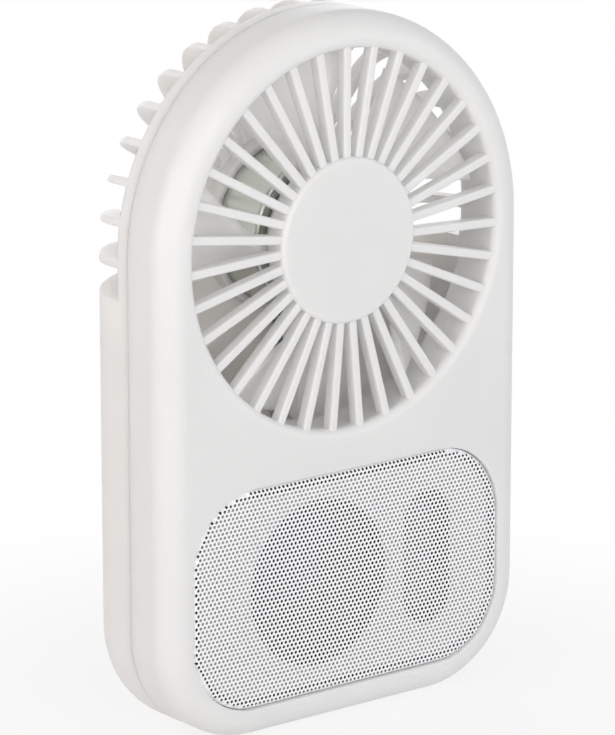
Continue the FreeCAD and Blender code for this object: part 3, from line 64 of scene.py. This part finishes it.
def new_material(name):
    """A node material that holds one plain shader."""
    material = bpy.data.materials.new(name)
    tree, surface = empty_tree(material, "ShaderNodeOutputMaterial")
    shader = tree.nodes.new("ShaderNodeBsdfPrincipled")
    tree.links.new(shader.outputs["BSDF"], surface)
    return material, tree, shader


def object_point(tree):
    """The place of a point in the object's own coordinates, in metres."""
    return tree.nodes.new("ShaderNodeTexCoord").outputs["Object"]


def noise(tree, scale, detail, roughness=0.5, stretch=(1, 1, 1)):
    """Noise in the object's own coordinates, in cycles per metre."""
    mapping = tree.nodes.new("ShaderNodeMapping")
    mapping.inputs["Scale"].default_value = stretch
    tree.links.new(object_point(tree), mapping.inputs["Vector"])
    texture = tree.nodes.new("ShaderNodeTexNoise")
    texture.inputs["Scale"].default_value = scale
    texture.inputs["Detail"].default_value = detail
    texture.inputs["Roughness"].default_value = roughness
    tree.links.new(mapping.outputs["Vector"], texture.inputs["Vector"])
    return texture.outputs["Fac"]


def ramp(tree, factor, low, high, start=0.3, end=0.7):
    """Two colours mixed by a factor."""
    node = tree.nodes.new("ShaderNodeValToRGB")
    for element, place, colour in zip(node.color_ramp.elements, (start, end), (low, high)):
        element.position = place
        element.color = (*colour, 1)
    tree.links.new(factor, node.inputs["Fac"])
    return node.outputs["Color"]


def spread(tree, factor, low, high):
    """A factor of 0 to 1 spread over a range."""
    node = tree.nodes.new("ShaderNodeMapRange")
    node.inputs["To Min"].default_value = low
    node.inputs["To Max"].default_value = high
    tree.links.new(factor, node.inputs["Value"])
    return node.outputs["Result"]


def bump(tree, shader, height, distance, strength=1.0):
    """Fine relief on the shader, its distance in mm."""
    node = tree.nodes.new("ShaderNodeBump")
    node.inputs["Distance"].default_value = distance * MM
    node.inputs["Strength"].default_value = strength
    tree.links.new(height, node.inputs["Height"])
    tree.links.new(node.outputs["Normal"], shader.inputs["Normal"])


def maths(tree, operation, first, second=0.0):
    """A maths node; each input is a socket or a number."""
    node = tree.nodes.new("ShaderNodeMath")
    node.operation = operation
    for socket, value in zip(node.inputs, (first, second)):
        if isinstance(value, bpy.types.NodeSocket):
            tree.links.new(value, socket)
        else:
            socket.default_value = value
    return node.outputs["Value"]


def between(tree, value, low, high):
    """1 where a length in metres lies between two bounds in mm, and 0 elsewhere."""
    above = maths(tree, "GREATER_THAN", value, low * MM)
    below = maths(tree, "LESS_THAN", value, high * MM)
    return maths(tree, "MULTIPLY", above, below)


def cover(tree, amount, colour):
    """Mix a second colour over the one that the material has, by an amount of 0 to 1."""
    shader = next(node for node in tree.nodes if node.type == "BSDF_PRINCIPLED")
    plain = shader.inputs["Base Color"].links[0].from_socket
    mix = tree.nodes.new("ShaderNodeMix")
    mix.data_type = "RGBA"
    mix.inputs[MIX_SECOND].default_value = (*colour, 1)
    tree.links.new(amount, mix.inputs["Factor"])
    tree.links.new(plain, mix.inputs[MIX_FIRST])
    tree.links.new(mix.outputs[MIX_RESULT], shader.inputs["Base Color"])


def shade(colour, amount):
    """A colour made lighter or darker."""
    return tuple(min(1.0, c * amount) for c in colour)


# Kinds of material, with grain, pores and pitch in mm, and scales in cycles per metre

PLASTIC_IOR = 1.49
MILKY_DEPTH = 3.0
MILKY_TINT = (1.0, 0.97, 0.92)
# A wave texture of scale 1 turns once in about this length, in metres
WAVE_TURN = 0.32


def moulded(name, colour, rough, grain=0.012, vary=0.02, grain_scale=5200, milky=0.0):
    """Moulded plastic: faint flow in the colour, a fine spark-eroded grain, and light that spreads inside."""
    material, tree, shader = new_material(name)
    flow = noise(tree, scale=55, detail=3.0)
    colours = ramp(tree, flow, shade(colour, 1 - vary), shade(colour, 1 + vary / 2))
    tree.links.new(colours, shader.inputs["Base Color"])
    fine = noise(tree, grain_scale, detail=3.0, roughness=0.6)
    tree.links.new(spread(tree, fine, low=rough - 0.05, high=rough + 0.07), shader.inputs["Roughness"])
    bump(tree, shader, fine, grain)
    shader.inputs["IOR"].default_value = PLASTIC_IOR
    if milky:
        shader.inputs["Subsurface Weight"].default_value = milky
        shader.inputs["Subsurface Radius"].default_value = MILKY_TINT
        shader.inputs["Subsurface Scale"].default_value = MILKY_DEPTH * MM
    return material


def metal(name, colour, rough, brush=(1, 1, 1), grain=0.004, vary=0.06, scale=900, metallic=1.0):
    """Bare, plated or painted sheet and bar, with drawn or turned marks."""
    material, tree, shader = new_material(name)
    marks = noise(tree, scale, detail=4.0, roughness=0.65, stretch=brush)
    colours = ramp(tree, marks, shade(colour, 1 - vary), shade(colour, 1 + vary))
    tree.links.new(colours, shader.inputs["Base Color"])
    tree.links.new(spread(tree, marks, low=rough - 0.08, high=rough + 0.1), shader.inputs["Roughness"])
    bump(tree, shader, marks, grain)
    shader.inputs["Metallic"].default_value = metallic
    return material


def soft(name, colour, rough, pores, scale=2600):
    """Rubber, foam or paper: dull, with open pores."""
    material, tree, shader = new_material(name)
    grainy = noise(tree, scale, detail=5.0, roughness=0.7)
    tree.links.new(ramp(tree, grainy, shade(colour, 0.75), shade(colour, 1.2)), shader.inputs["Base Color"])
    tree.links.new(spread(tree, grainy, low=rough - 0.1, high=rough + 0.1), shader.inputs["Roughness"])
    bump(tree, shader, grainy, pores)
    return material


def wire(name, colour):
    """The smooth rubber skin of a lead."""
    return soft(name, colour, rough=0.5, pores=0.004)


def board(name, lacquer, tracks):
    """Circuit board: lacquer over fine copper tracks that run square to each other."""
    material, tree, shader = new_material(name)
    grid = tree.nodes.new("ShaderNodeTexBrick")
    grid.inputs["Scale"].default_value = 420
    grid.inputs["Mortar Size"].default_value = 0.035
    grid.inputs["Mortar Smooth"].default_value = 0.3
    grid.inputs["Color1"].default_value = (0, 0, 0, 1)
    grid.inputs["Color2"].default_value = (0.15, 0.15, 0.15, 1)
    grid.inputs["Mortar"].default_value = (1, 1, 1, 1)
    upright = tree.nodes.new("ShaderNodeMapping")
    upright.inputs["Rotation"].default_value = (math.radians(90), 0, 0)
    tree.links.new(object_point(tree), upright.inputs["Vector"])
    tree.links.new(upright.outputs["Vector"], grid.inputs["Vector"])
    colours = ramp(tree, grid.outputs["Color"], lacquer, tracks, start=0.2, end=0.9)
    tree.links.new(colours, shader.inputs["Base Color"])
    weave = noise(tree, scale=3000, detail=2.0)
    tree.links.new(spread(tree, weave, low=0.3, high=0.42), shader.inputs["Roughness"])
    bump(tree, shader, grid.outputs["Color"], distance=0.02, strength=0.6)
    return material


def wound(name, colour, pitch):
    """Fine wire wound round an axis along the depth, its darker bands painted shade in the grooves between
    the turns.
    """
    material, tree, shader = new_material(name)
    wave = tree.nodes.new("ShaderNodeTexWave")
    wave.bands_direction = "Y"
    wave.inputs["Scale"].default_value = WAVE_TURN / (pitch * MM)
    tree.links.new(object_point(tree), wave.inputs["Vector"])
    # The darker bands are painted shade between the turns
    tree.links.new(ramp(tree, wave.outputs["Fac"], shade(colour, 0.4), colour), shader.inputs["Base Color"])
    tarnish = noise(tree, scale=600, detail=3.0)
    tree.links.new(spread(tree, tarnish, low=0.25, high=0.45), shader.inputs["Roughness"])
    bump(tree, shader, wave.outputs["Fac"], distance=0.05)
    shader.inputs["Metallic"].default_value = 1.0
    return material


def clear(name, colour):
    """Clear plastic with a faint inner haze."""
    material, tree, shader = new_material(name)
    haze = noise(tree, scale=700, detail=3.0)
    tree.links.new(ramp(tree, haze, shade(colour, 0.95), colour), shader.inputs["Base Color"])
    tree.links.new(spread(tree, haze, low=0.08, high=0.22), shader.inputs["Roughness"])
    shader.inputs["Transmission Weight"].default_value = 0.85
    shader.inputs["IOR"].default_value = PLASTIC_IOR
    return material


# Materials of the CAD nodes

housing_white = moulded("housing_plastic", (0.81, 0.81, 0.81), rough=0.36, milky=0.5)
rear_white = moulded("rear_housing_plastic", (0.89, 0.874, 0.862), rough=0.38, milky=1.0)
wheel_white = moulded("fan_wheel_plastic", (0.92, 0.90, 0.885), rough=0.34, grain=0.006, milky=0.9)
key_white = moulded("key_plastic", (0.80, 0.80, 0.80), rough=0.3, grain=0.006, milky=0.5)
black_plastic = moulded("black_plastic", (0.018, 0.018, 0.02), rough=0.5, vary=0.3)
chip_plastic = moulded(
    "chip_plastic", (0.014, 0.014, 0.016), rough=0.6, grain=0.03, vary=0.3, grain_scale=9000
)
lamp_plastic = moulded("lamp_plastic", (0.72, 0.68, 0.45), rough=0.3)
frame_paint = moulded("frame_paint", (0.02, 0.02, 0.022), rough=0.4, grain=0.02, vary=0.2)
ferrite = moulded("ferrite", (0.035, 0.035, 0.038), rough=0.62, grain=0.05, vary=0.25, grain_scale=3500)
can_steel = metal("can_steel", (0.58, 0.60, 0.55), rough=0.34, brush=(1, 0.08, 1), grain=0.003)
plated_steel = metal("plated_steel", (0.55, 0.56, 0.57), rough=0.28)
screw_steel = metal("screw_steel", (0.20, 0.20, 0.21), rough=0.32, scale=1600)
ground_steel = metal("ground_steel", (0.58, 0.58, 0.60), rough=0.16, brush=(1, 0.05, 1), grain=0.001)
core_steel = metal(
    "core_steel", (0.30, 0.28, 0.26), rough=0.45, brush=(0.05, 6, 0.05), grain=0.02, scale=1100
)
bush_bronze = metal("bush_bronze", (0.46, 0.30, 0.13), rough=0.42, grain=0.01, scale=3500)
pouch_foil = metal("pouch_foil", (0.50, 0.51, 0.53), rough=0.38, grain=0.05, scale=160, vary=0.04)
contact_brass = metal("contact_brass", (0.70, 0.52, 0.22), rough=0.3)
cone_paper = soft("cone_paper", (0.022, 0.022, 0.024), rough=0.8, pores=0.05, scale=1500)
roll_rubber = soft("roll_rubber", (0.014, 0.014, 0.015), rough=0.5, pores=0.008)
foam = soft("foam", (0.03, 0.03, 0.03), rough=0.95, pores=0.12, scale=3200)
red_wire = wire("red_wire", (0.36, 0.02, 0.015))
grey_wire = wire("grey_wire", (0.20, 0.21, 0.23))
black_wire = wire("black_wire", (0.016, 0.016, 0.018))
main_lacquer = board("main_lacquer", lacquer=(0.008, 0.075, 0.03), tracks=(0.03, 0.17, 0.07))
cell_lacquer = board("cell_lacquer", lacquer=(0.01, 0.05, 0.08), tracks=(0.05, 0.13, 0.18))
copper_winding = wound("copper_winding", (0.62, 0.26, 0.10), pitch=0.12)
pipe_plastic = clear("pipe_plastic", (0.90, 0.92, 0.93))

# Every node but the buttons, their plungers and the speaker_mesh, which the grille below replaces
FINISH = {
    "front_cover": housing_white,
    "rear_cover": rear_white,
    "case_screws": screw_steel,
    "motor_can": can_steel,
    "motor_end_cap": black_plastic,
    "motor_front_bush": bush_bronze,
    "motor_rear_bush": bush_bronze,
    "motor_shaft": ground_steel,
    "motor_magnets": ferrite,
    "motor_rotor": core_steel,
    "impeller": wheel_white,
    "motor_leads": grey_wire,
    "speaker_frame": frame_paint,
    "speaker_top_plate": plated_steel,
    "speaker_magnet": ferrite,
    "speaker_yoke": plated_steel,
    "voice_coil": copper_winding,
    "driver_cone": cone_paper,
    "dust_cap": cone_paper,
    "driver_surround": roll_rubber,
    "speaker_gasket": foam,
    "speaker_terminals": contact_brass,
    "speaker_screws": screw_steel,
    "speaker_leads": black_wire,
    "radiator_frame": black_plastic,
    "radiator_membrane": roll_rubber,
    "radiator_plate": screw_steel,
    "battery_cell": pouch_foil,
    "battery_board": cell_lacquer,
    "battery_pad": foam,
    "battery_leads": red_wire,
    "main_board": main_lacquer,
    "board_chips": chip_plastic,
    "board_screws": screw_steel,
    "usb_port": plated_steel,
    "indicator_light": lamp_plastic,
    "indicator_lens": pipe_plastic,
    "switch_bodies": black_plastic,
}
for name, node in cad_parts.items():
    if name.endswith("_button"):
        finish = key_white
    elif name.endswith("_plunger"):
        finish = black_plastic
    else:
        finish = FINISH.get(name)
    if finish is not None:
        node.data.materials.clear()
        node.data.materials.append(finish)


# Perforated grille, in mm

CORNER = 15.1
CORNER_STEPS = 48
EDGE_ROLL = 0.8
SHEET_THICK = 0.16
HOLE_PITCH = 1.0
HOLE_RADIUS = 0.335
HOLE_SIDES = 12
# A hole's centre keeps this far from the sheet's edge
HOLE_MARGIN = 0.36
# The middle row lies this share of a row above the sheet's middle
ROW_SHIFT_SHARE = 0.2
MERGE_DISTANCE = 0.001
# Settings of the triangulation: it keeps every face inside the outer edge, and merges points this close
WHOLE_HULL = 0
TOLERANCE = 1e-6
# Painted shade behind the sheet's face, which darkens its holes: how dark its back is, and the walls of its
# holes
BACK_SHADE_SHARE = 1.0
WALL_SHADE_SHARE = 0.15
SHEET_PAINTED_SHADE = (0.03, 0.03, 0.032)


def box_middle(name):
    """The middle of a node's box, in mm."""
    return [(low + high) / 2 / MM for low, high in zip(*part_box(name))]


mesh_low, mesh_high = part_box("speaker_mesh")
WIDTH, TALL = (mesh_high.x - mesh_low.x) / MM, (mesh_high.z - mesh_low.z) / MM


def sheet_edge():
    """The points of the sheet's edge: an upright rectangle with round corners."""
    points = []
    for turn, (side_x, side_z) in enumerate(((1, 1), (-1, 1), (-1, -1), (1, -1))):
        middle_x, middle_z = side_x * (WIDTH / 2 - CORNER), side_z * (TALL / 2 - CORNER)
        for step in range(CORNER_STEPS + 1):
            angle = math.radians(90 * (turn + step / CORNER_STEPS))
            points.append((middle_x + CORNER * math.cos(angle), middle_z + CORNER * math.sin(angle)))
    return points


def inside_edge(x, z):
    """How far a point lies inside the sheet's edge."""
    out_x, out_z = WIDTH / 2 - abs(x), TALL / 2 - abs(z)
    if out_x < CORNER and out_z < CORNER:
        return CORNER - math.hypot(CORNER - out_x, CORNER - out_z)
    return min(out_x, out_z)


def hole_centres():
    """The holes' centres: level rows, each shifted by half a pitch against the next."""
    row = HOLE_PITCH * math.sqrt(3) / 2
    rows = int(TALL / row / 2) + 1
    columns = int(WIDTH / HOLE_PITCH / 2) + 1
    centres = []
    for j in range(-rows, rows + 1):
        for i in range(-columns, columns + 1):
            x, z = (i + 0.5 * (j % 2)) * HOLE_PITCH, (j + ROW_SHIFT_SHARE) * row
            if inside_edge(x, z) > HOLE_MARGIN:
                centres.append((x, z))
    return centres


def punched_sheet(edge):
    """The flat sheet: its points, its faces round the holes, and the points that its edge became."""
    points = [Vector(point) for point in edge]
    lines = [(i, (i + 1) % len(edge)) for i in range(len(edge))]
    hole_of = [None] * len(edge)
    for number, (x, z) in enumerate(hole_centres()):
        first = len(points)
        for side in range(HOLE_SIDES):
            angle = 2 * math.pi * (side + 0.5) / HOLE_SIDES
            points.append(Vector((x + HOLE_RADIUS * math.cos(angle), z + HOLE_RADIUS * math.sin(angle))))
            hole_of.append(number)
            lines.append((first + side, first + (side + 1) % HOLE_SIDES))
    found, _, faces, origins, _, _ = delaunay_2d_cdt(points, lines, [], WHOLE_HULL, TOLERANCE)
    holes = [hole_of[given[0]] if given else None for given in origins]
    kept = []
    for face in faces:
        touched = {holes[corner] for corner in face}
        if len(touched) > 1 or None in touched:
            kept.append(tuple(face))
    place = {given: i for i, several in enumerate(origins) for given in several}
    return found, kept, [place[i] for i in range(len(edge))]


def pressed_mesh():
    """The sheet's outer skin: its punched face, the edge that rolls back, and a skirt down to its seat."""
    middle_x, _, middle_z = box_middle("speaker_mesh")
    front, seat = mesh_low.y / MM, mesh_high.y / MM
    edge = sheet_edge()
    flat, faces, upper = punched_sheet(edge)
    coords = []
    for point in flat:
        short = max(0.0, EDGE_ROLL - max(0.0, inside_edge(*point)))
        depth = front + EDGE_ROLL - math.sqrt(EDGE_ROLL ** 2 - short ** 2)
        coords.append((point.x + middle_x, depth, point.y + middle_z))
    first = len(coords)
    coords += [(x + middle_x, seat, z + middle_z) for x, z in edge]
    for i in range(len(edge)):
        j = (i + 1) % len(edge)
        faces.append((upper[i], upper[j], first + j, first + i))
    mesh = bpy.data.meshes.new("grille_sheet")
    mesh.from_pydata([tuple(c * MM for c in point) for point in coords], [], faces)
    mesh.validate()
    return mesh


def face_outward(mesh):
    """Join double points and turn all faces the same way, the sheet's face to the front."""
    work = bmesh.new()
    work.from_mesh(mesh)
    bmesh.ops.remove_doubles(work, verts=work.verts, dist=MERGE_DISTANCE * MM)
    bmesh.ops.recalc_face_normals(work, faces=work.faces)
    if sum(face.normal.y * face.calc_area() for face in work.faces) > 0:
        bmesh.ops.reverse_faces(work, faces=work.faces)
    work.to_mesh(mesh)
    work.free()


def make_grille():
    """The pressed sheet with real holes and its own thickness, with painted shade behind its face."""
    mesh = pressed_mesh()
    face_outward(mesh)
    piece = bpy.data.objects.new("grille_sheet", mesh)
    bpy.context.scene.collection.objects.link(piece)
    bpy.context.view_layer.objects.active = piece
    face_count = len(mesh.polygons)
    solid = piece.modifiers.new("thickness", "SOLIDIFY")
    solid.thickness = SHEET_THICK * MM
    solid.offset = -1
    bpy.ops.object.modifier_apply(modifier=solid.name)
    mesh.shade_flat()

    # The modifier gives the outer faces first, then the same faces of the back, then the holes' walls
    # The back and the holes' walls are marked for painted shade, which darkens the holes
    dark = mesh.attributes.new("painted_shade_share", "FLOAT", "FACE")
    for number in range(face_count, len(mesh.polygons)):
        dark.data[number].value = BACK_SHADE_SHARE if number < face_count * 2 else WALL_SHADE_SHARE
    return piece


def grille_material():
    """Sheet painted white, with painted shade where the mesh says so: its back and the walls of its holes."""
    material = metal("grille_metal", (0.96, 0.962, 1.0), rough=0.36, vary=0.02, scale=1500, metallic=0.0)
    tree = material.node_tree
    mark = tree.nodes.new("ShaderNodeAttribute")
    mark.attribute_name = "painted_shade_share"
    cover(tree, mark.outputs["Fac"], SHEET_PAINTED_SHADE)
    return material


grille = make_grille()
grille.data.materials.append(grille_material())
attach(grille, "housing")
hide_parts("speaker_mesh")


# Painted shade on the front cover behind the grille, on the walls of its speaker openings and in the groove
# round the pad, in mm

OPENING_SHADE = (0.02, 0.02, 0.02)
GROOVE_SHADE = (0.05, 0.05, 0.05)
# From the face of the pad behind the grille to the middle of the body
OPENING_DEPTHS = (-13.2, 0.0)
DRIVER_RADIUS = 17.04
RADIATOR_RADIUS = 5.99
RADIATOR_STRAIGHT = 16.0
GROOVE_RADII = (13.24, 14.95)
# From just under that face to the floor of the groove round the pad
GROOVE_DEPTHS = (-13.1, -12.1)


def paint_recess_shade(material, around, core, radii, depths, colour):
    """Colour what lies between two radii from a core, and between two depths, with painted shade.

    The core is an upright rectangle's width and height, and it lies at the middle of a node, `around`."""
    tree = material.node_tree
    split = tree.nodes.new("ShaderNodeSeparateXYZ")
    tree.links.new(object_point(tree), split.inputs["Vector"])
    middle_x, _, middle_z = box_middle(around)
    squares = []
    for axis, middle, length in (("X", middle_x, core[0]), ("Z", middle_z, core[1])):
        away = maths(tree, "ABSOLUTE", maths(tree, "SUBTRACT", split.outputs[axis], middle * MM))
        past = maths(tree, "MAXIMUM", maths(tree, "SUBTRACT", away, length / 2 * MM))
        squares.append(maths(tree, "MULTIPLY", past, past))
    ring = between(tree, maths(tree, "SQRT", maths(tree, "ADD", *squares)), *radii)
    slab = between(tree, split.outputs["Y"], *depths)
    cover(tree, maths(tree, "MULTIPLY", ring, slab), colour)


# Painted shade on the walls of the driver's and the radiator's openings, and in the groove round the pad
paint_recess_shade(housing_white, "driver_cone", (0, 0), (0, DRIVER_RADIUS), OPENING_DEPTHS, OPENING_SHADE)
paint_recess_shade(
    housing_white, "radiator_plate", (0, RADIATOR_STRAIGHT), (0, RADIATOR_RADIUS), OPENING_DEPTHS, OPENING_SHADE
)
paint_recess_shade(
    housing_white, "speaker_mesh", (WIDTH - CORNER * 2, TALL - CORNER * 2), GROOVE_RADII, GROOVE_DEPTHS,
    GROOVE_SHADE,
)


# Floor, background and light, in metres and watts

FLOOR_SIDE = 8.0
FLOOR_PAPER = (0.86, 0.86, 0.86, 1)
WHITE = (1, 1, 1, 1)
# The floor's own shade fades into the white ground between these distances from the object's middle
FADE_START = 0.03
FADE_END = 0.15
GROUND_NEAR = 0.80
AMBIENT = 0.475
LAMP_AIM = Vector((0, 0, 0.075))


def seen_rays(tree):
    """1 for rays that look at the ground directly, in a mirror or through clear plastic."""
    path = tree.nodes.new("ShaderNodeLightPath")
    glossy = maths(tree, "MAXIMUM", path.outputs["Is Camera Ray"], path.outputs["Is Glossy Ray"])
    return maths(tree, "MAXIMUM", glossy, path.outputs["Is Transmission Ray"])


def mixed(tree, factor, first, second, surface):
    """Two shaders mixed by a factor, on a surface socket."""
    mix = tree.nodes.new("ShaderNodeMixShader")
    for source, socket in zip((factor, first, second), mix.inputs):
        tree.links.new(source, socket)
    tree.links.new(mix.outputs["Shader"], surface)


def stage_floor():
    """A pale floor that keeps the object's shadow and fades into the white ground."""
    mesh = bpy.data.meshes.new("floor")
    corners = [(x * FLOOR_SIDE / 2, y * FLOOR_SIDE / 2, 0) for x, y in ((-1, -1), (1, -1), (1, 1), (-1, 1))]
    mesh.from_pydata(corners, [], [(0, 1, 2, 3)])
    floor = bpy.data.objects.new("floor", mesh)
    bpy.context.scene.collection.objects.link(floor)
    material = bpy.data.materials.new("floor_paper")
    tree, surface = empty_tree(material, "ShaderNodeOutputMaterial")
    paper = tree.nodes.new("ShaderNodeBsdfDiffuse")
    paper.inputs["Color"].default_value = FLOOR_PAPER
    glow = tree.nodes.new("ShaderNodeEmission")
    glow.inputs["Color"].default_value = WHITE
    glow.inputs["Strength"].default_value = 1.0
    distance = tree.nodes.new("ShaderNodeVectorMath")
    distance.operation = "LENGTH"
    tree.links.new(object_point(tree), distance.inputs[0])
    fade = tree.nodes.new("ShaderNodeMapRange")
    fade.interpolation_type = "SMOOTHSTEP"
    fade.inputs["From Min"].default_value = FADE_START
    fade.inputs["From Max"].default_value = FADE_END
    fade.inputs["To Min"].default_value = GROUND_NEAR
    fade.inputs["To Max"].default_value = 1.0
    tree.links.new(distance.outputs["Value"], fade.inputs["Value"])
    amount = maths(tree, "MULTIPLY", seen_rays(tree), fade.outputs["Result"])
    mixed(tree, amount, paper.outputs["BSDF"], glow.outputs["Emission"], surface)
    floor.data.materials.append(material)


def backdrop(tree, strength):
    """White light from all round, at a strength."""
    light = tree.nodes.new("ShaderNodeBackground")
    light.inputs["Color"].default_value = WHITE
    light.inputs["Strength"].default_value = strength
    return light.outputs["Background"]


def sky():
    """An even surround: white to the eye and in reflections, dimmer as a light."""
    world = bpy.data.worlds.new("surround")
    bpy.context.scene.world = world
    tree, surface = empty_tree(world, "ShaderNodeOutputWorld")
    mixed(tree, seen_rays(tree), backdrop(tree, AMBIENT), backdrop(tree, 1.0), surface)


def soft_lamp(name, place, size, power, colour=(1, 1, 1)):
    """A large softbox that looks at the object."""
    light = bpy.data.lights.new(name, "AREA")
    light.shape = "RECTANGLE"
    light.size, light.size_y = size
    light.energy = power
    light.color = colour
    lamp = bpy.data.objects.new(name, light)
    bpy.context.scene.collection.objects.link(lamp)
    lamp.location = place
    lamp.rotation_euler = (LAMP_AIM - Vector(place)).to_track_quat("-Z", "Y").to_euler()


stage_floor()
sky()
soft_lamp("front_softbox", place=(-0.25, -0.74, 0.20), size=(0.7, 0.7), power=2.8)
soft_lamp(
    "left_softbox", place=(-0.75, -0.15, 0.22), size=(0.6, 0.7), power=2.45, colour=(1.0, 0.925, 0.85)
)
soft_lamp("right_softbox", place=(0.60, -0.62, 0.06), size=(0.6, 0.5), power=1.25)
soft_lamp("top_softbox", place=(0.05, 0.20, 0.75), size=(0.7, 0.5), power=0.2)
soft_lamp("back_softbox", place=(0.35, 0.80, 0.12), size=(0.7, 0.6), power=1.6)


# Camera, placed by the fit to the photograph, in mm

TARGET = Vector((-10.66, -14.05, 73.64))
DISTANCE = 856.9
AZIMUTH = math.radians(-38.443)
ELEVATION = math.radians(14.509)
FOCAL_PIXELS = 4396.5
PHOTO_PIXELS_TALL = 735
SENSOR = 36.0
NEAREST_SEEN = 50
FURTHEST_SEEN = 20000

toward = Vector((
    math.sin(AZIMUTH) * math.cos(ELEVATION), -math.cos(AZIMUTH) * math.cos(ELEVATION), math.sin(ELEVATION),
))
lens = bpy.data.cameras.new("camera")
lens.sensor_fit = "VERTICAL"
lens.sensor_height = SENSOR
lens.lens = FOCAL_PIXELS / PHOTO_PIXELS_TALL * SENSOR
lens.clip_start, lens.clip_end = NEAREST_SEEN * MM, FURTHEST_SEEN * MM
camera = bpy.data.objects.new("camera", lens)
bpy.context.scene.collection.objects.link(camera)
camera.location = (TARGET + toward * DISTANCE) * MM
camera.rotation_euler = toward.to_track_quat("Z", "Y").to_euler()
bpy.context.scene.camera = camera
bpy.context.scene.view_settings.view_transform = "Standard"
bpy.context.scene.cycles.max_bounces = 16
bpy.context.scene.cycles.diffuse_bounces = 12
